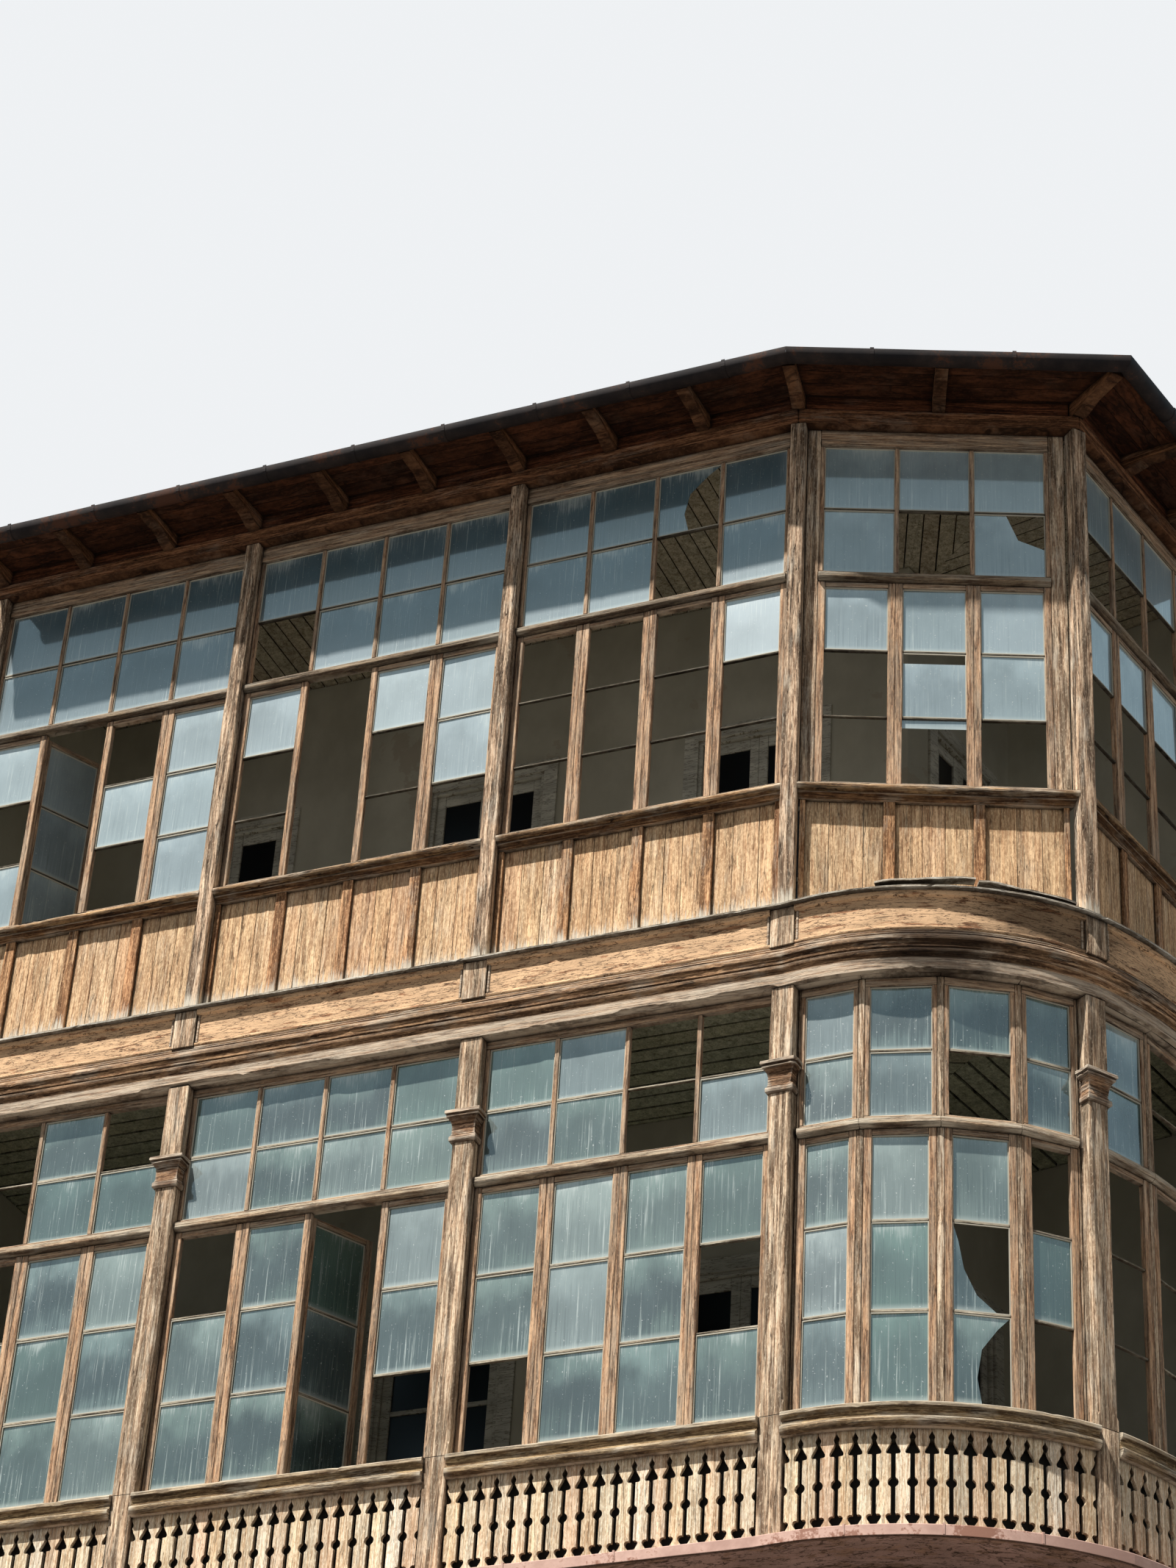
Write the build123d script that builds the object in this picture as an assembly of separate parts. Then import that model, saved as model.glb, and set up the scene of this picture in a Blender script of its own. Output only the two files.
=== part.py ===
from build123d import *
import math
import os

# Enclosed timber balcony of two storeys that wraps the corner of a house, in millimetres.
# X runs along the left front, +Y goes into the house, +Z is up.
# The origin is at the foot of the corner post where the left front ends, on the face line.

# Plan
BAY = 2200.0
LEFT_BAYS = 3
CORNER_CHORD = 2010.0
CORNER_DIR = 21.1
WING_DIR = 78.0
CORNER_TURN = 61.0
WING_TURN = 40.0
FACETS = 4
GALLERY_DEPTH = 1850.0
SEGMENT_TURN = 7.5
HOUSE_WALL_T = 450.0
PARTY_WALL_T = 240.0
JOINT = 1.0
SHAKE = 0.5

# Heights, from the underside of the base up
CORNICE_H = 240.0
LEDGE_H = 60.0
RAIL_H = 810.0
RAIL_DEPTH = 160.0
LOWER_CASEMENT_H = 1960.0
LOWER_LIGHT_H = 1040.0
FASCIA_H = 80.0
MOULDING_H = 210.0
FRIEZE_H = 290.0
DRIP_T = 30.0
PARAPET_H = 1020.0
UPPER_CASEMENT_H = 1807.0
UPPER_LIGHT_H = 1316.0
PLATE_T = 127.0
WALL_OVER_PLATE = 560.0
FLOOR_T = 100.0
CEILING_RISE = 265.0
CEILING_T = 25.0

# Roof
ROOF_SLOPE = 0.12
RAFTER_DEPTH = 130.0
RAFTER_W = 90.0
NOTCH = 12.0
HIP_DROP = 6.0
RAFTERS_PER_BAY = 3
TAIL = 459.0
BOARD_T = 22.0
SHEET_T = 8.0
SHEET_OVERHANG = 505.0
PLATE_IN = 130.0
PLATE_OUT = 10.0
BLOCKING_SET = 20.0
BLOCKING_T = 25.0
GUTTER_R = 62.0
GUTTER_T = 4.0
GUTTER_LIP = 30.0

# Posts and base
LOWER_POST_W = 157.0
UPPER_POST_W = 110.0
UPPER_POST_DEPTH = 122.0
CAPITAL_RISE = 260.0
CAPITAL_H = 225.0
ABACUS_OUT = 46.0
CHAMFER = 15.0
CHAMFER_STOP = 70.0
CORNICE_OUT = 170.0
LEDGE_OUT = 195.0
JOIST_W = 60.0

# Fretwork balustrade
BOARD_PITCH = 114.0
FRET_T = 26.0
FRET_SET = 20.0
FRET_GAP = 3.0
FRET_CUT = 40.0
FRET_SLIT = 13.0
BACK_RAIL_D = 45.0
BACK_RAIL_H = 55.0
BACK_RAIL_GAP = 15.0

# Handrail over it, distances out from the face line
RAIL_FACE_OUT = 14.0
RAIL_OUT = 40.0
RAIL_NECK_OUT = 20.0
RAIL_NOSE_OUT = 38.0

# Windows
SET_BACK = 80.0
SASH_T = 42.0
STILE_W = 50.0
TOP_RAIL_H = 42.0
BOTTOM_RAIL_H = 50.0
BAR_W = 22.0
GLASS_T = 4.0
TRANSOM_H = 58.0
TRANSOM_OUT = 38.0
TOP_FRAME_W = 30.0
TOP_BAR_W = 30.0
TOP_HEAD_H = 60.0
UPPER_HEAD_H = 150.0
TOP_SILL_H = 34.0
FACET_MULLION = 18.0
END_JAMB = 14.0
CHORD_LEAF_W = 540.0

# Frieze between the storeys, distances out from the face line
FASCIA_OUT = 12.0
STEP_OUT = 48.0
PANEL_OUT = 16.0
BLOCK_OUT = 36.0
DRIP_OUT = 72.0
FRIEZE_BACK = 30.0
BLOCK_W = 172.0
PANEL_LIP = 22.0
BLOCK_SPARE = 8.0

# Parapet of the upper storey
SILL_H = 70.0
SILL_OUT = 2.0
SILL_FALL = 8.0
SILL_THROAT = 20.0
PARAPET_SET = 97.0
PARAPET_T = 25.0
PARAPET_FOOT_H = 50.0
PARAPET_HEAD_H = 42.0
PARAPET_LIP = 27.0
FOOT_OUT = 34.0
COVE_OUT = 35.0
HEAD_SET = 28.0
BATTEN_W = 78.0
BATTEN_T = 24.0

# Openings in the house wall
DOOR_W = 1000.0
DOOR_SHIFT = 150.0
WING_DOOR_W = 850.0
WING_DOOR_SHIFT = 40.0
DOOR_H = 2850.0
UPPER_DOOR_H = 2910.0
CASING_W = 110.0
CASING_LAP = 30.0
CASING_T = 20.0
FRAME_W = 60.0
FRAME_D = 120.0
LEAF_T = 45.0
LEAF_SET = 30.0

# Panes that are still in place: 1 glazed, 0 missing, rows from the top down.
# A leaf is "open" where it is swung into the gallery, and "absent" where it is gone.
UPPER_TOPS = [["1111", "1111"], ["1111", "0111"], ["1101", "1101"], ["111", "100"], ["1111", "0000"]]
UPPER_LEAVES = [["101", "open", "010", "111"], ["100", "absent", "100", "110"],
                ["000", "000", "000", "100"], ["100", "100", "110"], ["100", "100", "100", "100"]]
LOWER_TOPS = [["1010", "1011"], ["1111", "1111"], ["1100", "1101"]]
LOWER_LEAVES = [["111", "011", "111", "111"], ["011", "111", "open", "110"], ["110", "111", "111", "101"]]
CORNER_TOPS = ["11", "11", "10", "11"]
CORNER_LEAVES = ["111", "111", "100", "010"]
WING_TOPS = ["11", "00", "11", "11"]
WING_LEAVES = ["000", "000", "110", "111"]
OPEN_ANGLE = 62.0

# Levels that follow
CORNICE_TOP = CORNICE_H
FLOOR_Z = CORNICE_TOP + LEDGE_H
RAIL_TOP = FLOOR_Z + RAIL_H
LOWER_TRANSOM_TOP = RAIL_TOP + LOWER_CASEMENT_H
LINTEL_Z = LOWER_TRANSOM_TOP + LOWER_LIGHT_H
FASCIA_TOP = LINTEL_Z + FASCIA_H
STEP_TOP = FASCIA_TOP + MOULDING_H
DRIP_Z = STEP_TOP + FRIEZE_H
DECK_Z = DRIP_Z + DRIP_T
CEILING_Z = LINTEL_Z + CEILING_RISE
UPPER_SILL_TOP = DECK_Z + PARAPET_H
UPPER_TRANSOM_TOP = UPPER_SILL_TOP + UPPER_CASEMENT_H
PLATE_Z = UPPER_TRANSOM_TOP + UPPER_LIGHT_H
PLATE_TOP = PLATE_Z + PLATE_T
ROOF_Z = PLATE_TOP + RAFTER_DEPTH
WALL_TOP = PLATE_TOP + WALL_OVER_PLATE
ASTRAGAL_Z = LOWER_TRANSOM_TOP + CAPITAL_RISE
ABACUS_TOP = ASTRAGAL_Z + CAPITAL_H

SASH_BACK = SET_BACK + SASH_T
POST_HALF = LOWER_POST_W / 2
UPPER_HALF = UPPER_POST_W / 2
HOUSE_BACK = GALLERY_DEPTH + HOUSE_WALL_T

nodes = {}


def add(node, *solids):
    nodes.setdefault(node, []).extend(solids)


def closed_solid(rings):
    """Solid through a stack of rings with the same number of points."""
    faces = [Face(Wire.make_polygon(rings[0])), Face(Wire.make_polygon(rings[-1]))]
    count = len(rings[0])
    for low, high in zip(rings, rings[1:]):
        for i in range(count):
            j = (i + 1) % count
            faces.append(Face(Wire.make_polygon([low[i], low[j], high[j], high[i]])))
    return Solid(Shell(faces))


class Run:
    """A straight stretch of the front. s runs along it, d goes into the house, z is up."""

    def __init__(self, start, direction, length, turn_before=0.0, turn_after=0.0):
        self.start = start
        self.direction = direction
        self.length = length
        self.along = (math.cos(math.radians(direction)), math.sin(math.radians(direction)))
        self.inward = (-self.along[1], self.along[0])
        self.half_before = math.radians(turn_before) / 2
        self.half_after = math.radians(turn_after) / 2

    def at(self, s, d, z=0.0):
        x = self.start[0] + s * self.along[0] + d * self.inward[0]
        y = self.start[1] + s * self.along[1] + d * self.inward[1]
        return (x, y, z)

    def end(self):
        return self.at(self.length, 0)[:2]

    def local(self, x, y):
        dx = x - self.start[0]
        dy = y - self.start[1]
        return (dx * self.along[0] + dy * self.along[1], dx * self.inward[0] + dy * self.inward[1])

    def first(self, clear, d):
        """Place along the run that is clear of the corner at its start, on the mitre."""
        return clear / math.cos(self.half_before) + d * math.tan(self.half_before)

    def last(self, clear, d):
        return self.length - clear / math.cos(self.half_after) - d * math.tan(self.half_after)

    def block(self, s0, s1, d0, d1, z0, z1):
        centre = self.at((s0 + s1) / 2, (d0 + d1) / 2, (z0 + z1) / 2)
        return Location(centre, (0, 0, self.direction)) * Box(s1 - s0, d1 - d0, z1 - z0)

    def prism(self, profile, s0, s1):
        """Profile of (d, z) points between two square ends."""
        return closed_solid([[self.at(s, d, z) for d, z in profile] for s in (s0, s1)])

    def mitred(self, profile, clear0=0.0, clear1=0.0):
        """Profile of (d, z) points between the mitres at both ends, kept clear of the corners."""
        first = [self.at(self.first(clear0, d), d, z) for d, z in profile]
        last = [self.at(self.last(clear1, d), d, z) for d, z in profile]
        return closed_solid([first, last])

    def slab(self, outline, z0, z1):
        """Plate with an outline of (s, d) points."""
        return closed_solid([[self.at(s, d, z) for s, d in outline] for z in (z0, z1)])

    def sloped(self, outline, level, thickness):
        """Plate with an outline of (s, d) points that lies on the slope of the roof."""
        rings = []
        for rise in (0.0, thickness):
            rings.append([self.at(s, d, level + ROOF_SLOPE * d + rise) for s, d in outline])
        return closed_solid(rings)


class Bow:
    """A bay that bows out in plan between two posts, along equal short straight sides."""

    def __init__(self, chord, turn):
        half = math.radians(turn) / 2
        self.length = chord.length
        self.rise = chord.length / 2 / math.tan(half)
        self.radius = chord.length / 2 / math.sin(half)
        self.start_dir = chord.direction - turn / 2
        self.turn = turn
        self.sides = FACETS * max(1, round(turn / FACETS / SEGMENT_TURN))
        rad = math.radians(self.start_dir)
        x, y = chord.start
        self.centre = (x - self.radius * math.sin(rad), y + self.radius * math.cos(rad))

    def at(self, angle, out, z=0.0):
        """Point at an angle past the start, out from the face line."""
        rad = math.radians(self.start_dir + angle)
        reach = self.radius + out
        return (self.centre[0] + reach * math.sin(rad), self.centre[1] - reach * math.cos(rad), z)

    def degrees(self, length):
        return math.degrees(length / self.radius)

    def depth(self, s, inward):
        """Depth behind the chord, at s on it, of a line that lies inward of the bowed face."""
        reach = self.radius * math.cos(math.radians(self.turn / self.sides) / 2) - inward
        return self.rise - math.sqrt(reach ** 2 - (s - self.length / 2) ** 2)

    def side(self, i, count):
        """One of a number of equal straight sides. The end ones are cut parallel to the posts."""
        step = self.turn / count
        direction = self.start_dir + step * (i + 0.5)
        length = 2 * self.radius * math.sin(math.radians(step) / 2)
        before = step if i else 2 * (direction - self.first_post.direction)
        after = step if i < count - 1 else 2 * (self.last_post.direction - direction)
        return Run(self.at(step * i, 0)[:2], direction, length, before, after)

    def facet(self, i):
        return self.side(i, FACETS)

    def pieces(self, profile, clear0, clear1):
        """Profile of (d, z) points along the bow, in one piece for each facet."""
        share = self.sides // FACETS
        result = []
        for i in range(FACETS):
            runs = [self.side(i * share + j, self.sides) for j in range(share)]
            gap0 = JOINT / 2 if i else clear0
            gap1 = JOINT / 2 if i < FACETS - 1 else clear1
            rings = [[runs[0].at(runs[0].first(gap0, d), d, z) for d, z in profile]]
            for run in runs:
                gap = gap1 if run is runs[-1] else 0.0
                rings.append([run.at(run.last(gap, d), d, z) for d, z in profile])
            result.append(closed_solid(rings))
        return result


turn_in = CORNER_DIR
turn_out = WING_DIR - CORNER_DIR
left = Run((-LEFT_BAYS * BAY, 0.0), 0.0, LEFT_BAYS * BAY, 0.0, turn_in)
chord = Run(left.end(), CORNER_DIR, CORNER_CHORD, turn_in, turn_out)
wing = Run(chord.end(), WING_DIR, BAY, turn_out, 0.0)
bows = [Bow(chord, CORNER_TURN), Bow(wing, WING_TURN)]
bow_start = bows[0].start_dir
bow_meet = (bows[0].start_dir + CORNER_TURN + bows[1].start_dir) / 2


def posts(corner_dirs):
    """Each post as a run along its own face, with the post's middle at s = 0."""
    places = [Run(left.at(i * BAY, 0)[:2], 0.0, 0.0) for i in range(LEFT_BAYS)]
    for start, direction in zip((chord.start, wing.start, wing.end()), corner_dirs):
        places.append(Run(start, direction, 0.0))
    return places


def straight_bays(turn_after):
    runs = []
    for i in range(LEFT_BAYS):
        after = turn_after if i == LEFT_BAYS - 1 else 0.0
        runs.append(Run(left.at(i * BAY, 0)[:2], 0.0, BAY, 0.0, after))
    return runs


# The lower posts follow the bowed bays, the upper ones the straight chords over them
lower_places = posts((bow_start / 2, bow_meet, WING_DIR))
upper_places = posts((CORNER_DIR / 2, (CORNER_DIR + WING_DIR) / 2, WING_DIR))
lower_bays = straight_bays(bow_start)
upper_bays = straight_bays(turn_in)
lower_left = Run(left.start, 0.0, left.length, 0.0, bow_start)
bows[0].first_post, bows[0].last_post = lower_places[-3:-1]
bows[1].first_post, bows[1].last_post = lower_places[-2:]


def corner_at(depth):
    """Point where two lines meet that lie at the same depth behind the left front and the wing."""
    x, y = wing.at(0, depth)[:2]
    return (x + (depth - y) * wing.along[0] / wing.along[1], depth)


house_corner = corner_at(GALLERY_DEPTH)
wing_corner_s = wing.local(*house_corner)[0]


# Base


def wrapped(profile):
    """A moulding that runs on past the posts: left front, bowed corner, bowed wing."""
    pieces = [lower_left.mitred(profile, -POST_HALF, JOINT / 2)]
    pieces += bows[0].pieces(profile, JOINT / 2, JOINT / 2)
    pieces += bows[1].pieces(profile, JOINT / 2, -POST_HALF)
    return pieces


def moulding(shape, z0, z1):
    """Profile of (d, z) points from a shape whose heights are shares of its own height."""
    return [(d, z0 + (z1 - z0) * share) for d, share in shape]


def base():
    inner = LOWER_POST_W
    out = CORNICE_OUT
    cornice = [(inner, 0), (-0.1 * out, 0), (-0.1 * out, 0.19), (-0.5 * out, 0.54), (-out, 0.78), (-out, 1),
               (inner, 1)]
    ledge = [(inner, 0), (-LEDGE_OUT, 0), (-LEDGE_OUT, 0.37), (-0.03 * LEDGE_OUT, 1), (inner, 1)]
    add("base_cornice", *wrapped(moulding(cornice, 0, CORNICE_TOP)))
    add("ledge_flashing", *wrapped(moulding(ledge, CORNICE_TOP, FLOOR_Z)))


def gallery_plates(z0, z1, inner, bowed):
    """Plates that fill the gallery from the front to the house wall, in four parts."""
    wall = GALLERY_DEPTH - SHAKE
    corner = corner_at(wall)
    places = lower_places if bowed else upper_places
    turn = lower_left.half_after if bowed else left.half_after
    mitre_s = left.length - inner * math.tan(turn)
    if bowed:
        corner_front = [bows[0].at(CORNER_TURN / FACETS * i, -inner) for i in range(1, FACETS)]
        wing_front = [bows[1].at(WING_TURN / FACETS * i, -inner) for i in range(1, FACETS)]
        turn = bows[0].start_dir + CORNER_TURN - bow_meet
        meet = places[-2].at(0, inner / math.cos(math.radians(turn)))
        end_d = inner + (BLOCK_W / 2 + POST_HALF) * math.tan(math.radians(WING_TURN / 2))
        half = len(corner_front) // 2
    else:
        corner_front = [chord.at(chord.length / 2, inner)]
        wing_front = []
        meet = wing.at(wing.first(0, inner), inner)
        end_d = inner
        half = 0
    near = -POST_HALF
    far = wing.length + POST_HALF
    joint = wing.at(wing_corner_s + 2 * UPPER_POST_W, wall)
    outlines = [
        [left.at(near, inner), left.at(mitre_s, inner), left.at(mitre_s, wall), left.at(near, wall)],
        [left.at(mitre_s, inner)] + corner_front[:half + 1] + [corner, left.at(mitre_s, wall)],
        corner_front[half:] + [meet, joint, corner],
        [meet] + wing_front + [wing.at(far, end_d), wing.at(far, wall), joint],
    ]
    return [closed_solid([[(x, y, z) for x, y in inset(outline, SHAKE)] for z in (z0, z1)])
            for outline in outlines]


def inset(outline, gap):
    """Convex outline, anticlockwise, moved in by a gap on every side."""
    points = [(p[0], p[1]) for p in outline]
    count = len(points)
    result = []
    for i in range(count):
        (ax, ay), (bx, by), (cx, cy) = points[i - 1], points[i], points[(i + 1) % count]
        la = math.hypot(bx - ax, by - ay)
        lb = math.hypot(cx - bx, cy - by)
        ux, uy = (bx - ax) / la, (by - ay) / la
        vx, vy = (cx - bx) / lb, (cy - by) / lb
        cross = ux * vy - uy * vx
        if abs(cross) < 1e-6:
            result.append((bx - uy * gap, by + ux * gap))
            continue
        shift = gap * (1 - (ux * vx + uy * vy)) / cross
        result.append((bx - uy * gap + ux * -shift, by + ux * gap + uy * -shift))
    return result


def floors():
    ceiling_top = PLATE_Z + CEILING_T
    add("gallery_floors", *gallery_plates(FLOOR_Z - FLOOR_T, FLOOR_Z, LOWER_POST_W, True))
    add("gallery_floors", *gallery_plates(DRIP_Z, DECK_Z, LOWER_POST_W, True))
    add("gallery_ceilings", *gallery_plates(CEILING_Z, CEILING_Z + CEILING_T, LOWER_POST_W, True))
    add("gallery_ceilings", *gallery_plates(PLATE_Z + JOINT, ceiling_top, PLATE_IN, False))


def wall_hit(run, s):
    """Depth at which a line into the house at s on a run meets the wall, round its corner."""
    x, y = run.at(s, 0)[:2]
    depths = []
    for wall in (left, wing):
        ahead = run.inward[0] * wall.inward[0] + run.inward[1] * wall.inward[1]
        if ahead > 0:
            depths.append((GALLERY_DEPTH - wall.local(x, y)[1]) / ahead)
    return max(depths)


def joist(run, s, front):
    half = JOIST_W / 2
    deep = min(wall_hit(run, s - half), wall_hit(run, s + half)) - SHAKE
    add("floor_joists", run.block(s - half, s + half, front, deep, CEILING_Z + CEILING_T, DRIP_Z))


def joists():
    """Joists of the upper floor, at quarters of each bay where there is room beside the corner."""
    inner = LOWER_POST_W + SHAKE
    for i in range(LEFT_BAYS * 4):
        joist(left, BAY / 4 * (i + 0.5), inner)
    for run, bow, quarters in ((chord, bows[0], (1, 2)), (wing, bows[1], (2, 3))):
        for quarter in quarters:
            s = run.length / 4 * quarter
            edge = max(bow.depth(s - JOIST_W / 2, LOWER_POST_W), bow.depth(s + JOIST_W / 2, LOWER_POST_W))
            joist(run, s, edge + SHAKE)


# Lower storey


def capital(place, half_widths, low_limit, high_limit, back):
    """Square capital from rings of (half width, z), applied to the front part of the post."""
    full = 2 * POST_HALF
    core = POST_HALF - JOINT
    rings = []
    for half, z in half_widths:
        out = POST_HALF - half
        a = max(-half, low_limit)
        b = min(half, high_limit)
        rings.append([place.at(s, d, z) for s, d in (
            (a, out), (b, out), (b, back), (core, back), (core, full), (-core, full), (-core, back),
            (a, back))])
    return closed_solid(rings)


def chamfered_shaft(place, z0, z1):
    """Post shaft with stopped chamfers on its four edges."""
    edge = 0.1 * CHAMFER
    ramp = 1.7 * CHAMFER
    half = POST_HALF
    rings = []
    for z, c in ((z0, edge), (z0 + CHAMFER_STOP, edge), (z0 + CHAMFER_STOP + ramp, CHAMFER),
                 (z1 - ramp, CHAMFER), (z1, edge)):
        outline = [(half - c, -half), (half, c - half), (half, half - c), (half - c, half),
                   (c - half, half), (-half, half - c), (-half, c - half), (c - half, -half)]
        rings.append([place.at(s, POST_HALF + d, z) for s, d in outline])
    return closed_solid(rings)


def lower_posts():
    half = POST_HALF
    out = ABACUS_OUT
    shape = [(0.33 * out, 0), (0.33 * out, 0.2), (0.1 * out, 0.27), (0.1 * out, 0.6), (out, 0.84), (out, 1)]
    rings = [(half + reach, z) for reach, z in moulding(shape, ASTRAGAL_Z, ABACUS_TOP)]
    last = len(lower_places) - 1
    for i, place in enumerate(lower_places):
        add("post_pedestals", place.block(-half, half, 0, 2 * half, FLOOR_Z, RAIL_TOP))
        add("post_shafts", chamfered_shaft(place, RAIL_TOP, ASTRAGAL_Z))
        low_limit = -half if i == 0 else -2 * half
        high_limit = half if i == last else 2 * half
        lean = math.sin(math.radians(abs(bow_start / 2))) if i == LEFT_BAYS else 0.0
        back = SET_BACK - 2 * SHAKE - 2 * half * lean if i < last else SET_BACK / 3
        add("post_capitals", capital(place, rings, low_limit, high_limit, back))
        add("post_heads", place.block(-half, half, 0, 2 * half, ABACUS_TOP, LINTEL_Z))


def fret_outline(half, height):
    """Half pierced board edge: points (x from the board's middle, z) up its right side."""
    edge = half - FRET_GAP / 2
    shape = [(0.0, 0.0), (FRET_CUT, 0.13), (FRET_SLIT, 0.18), (FRET_SLIT, 0.77), (FRET_CUT, 0.82), (0.0, 1.0)]
    return [(edge - cut, height * share) for cut, share in shape]


def fret_board(place, z0, z1, half):
    right = fret_outline(half, z1 - z0)
    outline = right + [(-x, z) for x, z in reversed(right)]
    rings = [[place.at(x, d, z0 + z) for x, z in outline] for d in (FRET_SET, FRET_SET + FRET_T)]
    return closed_solid(rings)


def balustrade():
    z0 = FLOOR_Z
    z1 = RAIL_TOP - RAIL_DEPTH
    clear = POST_HALF + JOINT
    back = FRET_SET + FRET_T
    behind = back + BACK_RAIL_D
    lower = z0 + BACK_RAIL_GAP
    upper = z1 - BACK_RAIL_GAP - BACK_RAIL_H
    rails = []
    for z in (lower, upper):
        rails.append([(back, z), (behind, z), (behind, z + BACK_RAIL_H), (back, z + BACK_RAIL_H)])
    for run in lower_bays:
        length = run.length - 2 * clear
        count = round(length / BOARD_PITCH)
        pitch = length / count
        for i in range(count):
            place = Run(run.at(clear + pitch * (i + 0.5), 0)[:2], run.direction, 0.0)
            add("fret_boards", fret_board(place, z0, z1, pitch / 2))
        for profile in rails:
            add("balustrade_rails", run.mitred(profile, POST_HALF, POST_HALF))
    for bow in bows:
        start = bow.degrees(clear + FRET_GAP)
        span = bow.turn - 2 * start
        count = round(math.radians(span) * bow.radius / BOARD_PITCH)
        step = span / count
        half = (bow.radius - back) * math.tan(math.radians(step) / 2)
        for i in range(count):
            angle = start + step * (i + 0.5)
            place = Run(bow.at(angle, 0)[:2], bow.start_dir + angle, 0.0)
            add("fret_boards", fret_board(place, z0, z1, half))
        for profile in rails:
            add("balustrade_rails", *bow.pieces(profile, POST_HALF, POST_HALF))


def handrails():
    back = SASH_BACK + FRET_SET
    shape = [(back, 0), (-RAIL_FACE_OUT, 0), (-RAIL_OUT, 0.14), (-RAIL_OUT, 0.34), (-RAIL_NECK_OUT, 0.5),
             (-RAIL_NOSE_OUT, 0.8), (-RAIL_NOSE_OUT, 0.92), (0, 1), (back, 1)]
    profile = moulding(shape, RAIL_TOP - RAIL_DEPTH, RAIL_TOP)
    for run in lower_bays:
        add("handrails", run.mitred(profile, POST_HALF, POST_HALF))
    for bow in bows:
        add("handrails", *bow.pieces(profile, POST_HALF, POST_HALF))


def glazed_spans(marks):
    """Pairs of first and last row of each stretch of panes that are still in place."""
    spans = []
    for row, mark in enumerate(marks):
        if mark == "1" and spans and spans[-1][1] == row - 1:
            spans[-1] = (spans[-1][0], row)
        elif mark == "1":
            spans.append((row, row))
    return spans


def glaze(place, a, b, low, high, d0, marks):
    """Glass behind the bars of one column of panes, in one sheet for each stretch that is left."""
    count = len(marks)
    pane = (high - low - BAR_W * (count - 1)) / count
    front = d0 + (SASH_T - GLASS_T) / 2
    for first, last in glazed_spans(marks):
        top = high - (pane + BAR_W) * first
        bottom = high - (pane + BAR_W) * last - pane
        add("window_panes", place.block(a, b, front, front + GLASS_T, bottom, top))


def leaf(run, s0, s1, z0, z1, state):
    """One casement leaf of three panes with its stiles, rails and the panes that are left."""
    if state == "absent":
        return
    place = run
    a = s0
    b = s1
    d0 = SET_BACK
    if state == "open":
        place = Run(run.at(s0 - STILE_W / 2, SASH_BACK + SHAKE)[:2], run.direction + OPEN_ANGLE, 0.0)
        a = 0.0
        b = s1 - s0
        d0 = 0.0
        state = "111"
    d1 = d0 + SASH_T
    inner_a = a + STILE_W
    inner_b = b - STILE_W
    low = z0 + BOTTOM_RAIL_H
    high = z1 - TOP_RAIL_H
    add("casement_stiles", place.block(a, inner_a, d0, d1, z0, z1), place.block(inner_b, b, d0, d1, z0, z1))
    add("casement_rails", place.block(inner_a, inner_b, d0, d1, z0, low))
    add("casement_rails", place.block(inner_a, inner_b, d0, d1, high, z1))
    glaze(place, inner_a, inner_b, low, high, d0, state)


def leaves(run, s0, s1, z0, z1, states):
    width = (s1 - s0) / len(states)
    for i, state in enumerate(states):
        leaf(run, s0 + width * i + SHAKE, s0 + width * (i + 1) - SHAKE, z0, z1, state)


def top_light(run, s0, s1, z0, z1, rows, head):
    """Fixed light of two rows over the transom."""
    node = "top_light_frames"
    columns = len(rows[0])
    d0 = SET_BACK
    d1 = SASH_BACK
    low = z0 + TOP_SILL_H
    high = z1 - head
    add(node, run.block(s0, s1, d0, d1, high + SHAKE, z1), run.block(s0, s1, d0, d1, z0, low - SHAKE))
    pitch = (s1 - s0 - 2 * TOP_FRAME_W + TOP_BAR_W) / columns
    edges = [s0] + [s0 + TOP_FRAME_W + pitch * i - TOP_BAR_W for i in range(1, columns)] + [s1 - TOP_FRAME_W]
    for i, a in enumerate(edges):
        width = TOP_FRAME_W if i in (0, columns) else TOP_BAR_W
        add(node, run.block(a, a + width, d0, d1, low, high))
    for i in range(columns):
        a = s0 + TOP_FRAME_W + pitch * i
        glaze(run, a, a + pitch - TOP_BAR_W, low, high, d0, [row[i] for row in rows])


def transom_profile(top):
    front = SET_BACK - TRANSOM_OUT
    shape = [(SASH_BACK, 0), (front + 0.6 * TRANSOM_OUT, 0), (front, 0.35), (front, 1), (SASH_BACK, 1)]
    return moulding(shape, top - TRANSOM_H, top)


def window(run, a, b, levels, head, tops, states):
    """Casements and top light of one bay or facet, between its sill, transom and head levels."""
    sill, transom, top = levels
    leaves(run, a, b, sill, transom - TRANSOM_H - SHAKE, states)
    top_light(run, a, b, transom, top, tops, head)


def facet_transom(run, a, b, first, last):
    """Transom of one facet, square where it meets a post and mitred where it meets the next facet."""
    rings = []
    for square, mitre, end in ((a, run.first, first), (b, run.last, last)):
        ring = []
        for d, z in transom_profile(LOWER_TRANSOM_TOP):
            ring.append(run.at(square if end else mitre(SHAKE / 2, d), d, z))
        rings.append(ring)
    add("window_transoms", closed_solid(rings))


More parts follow.
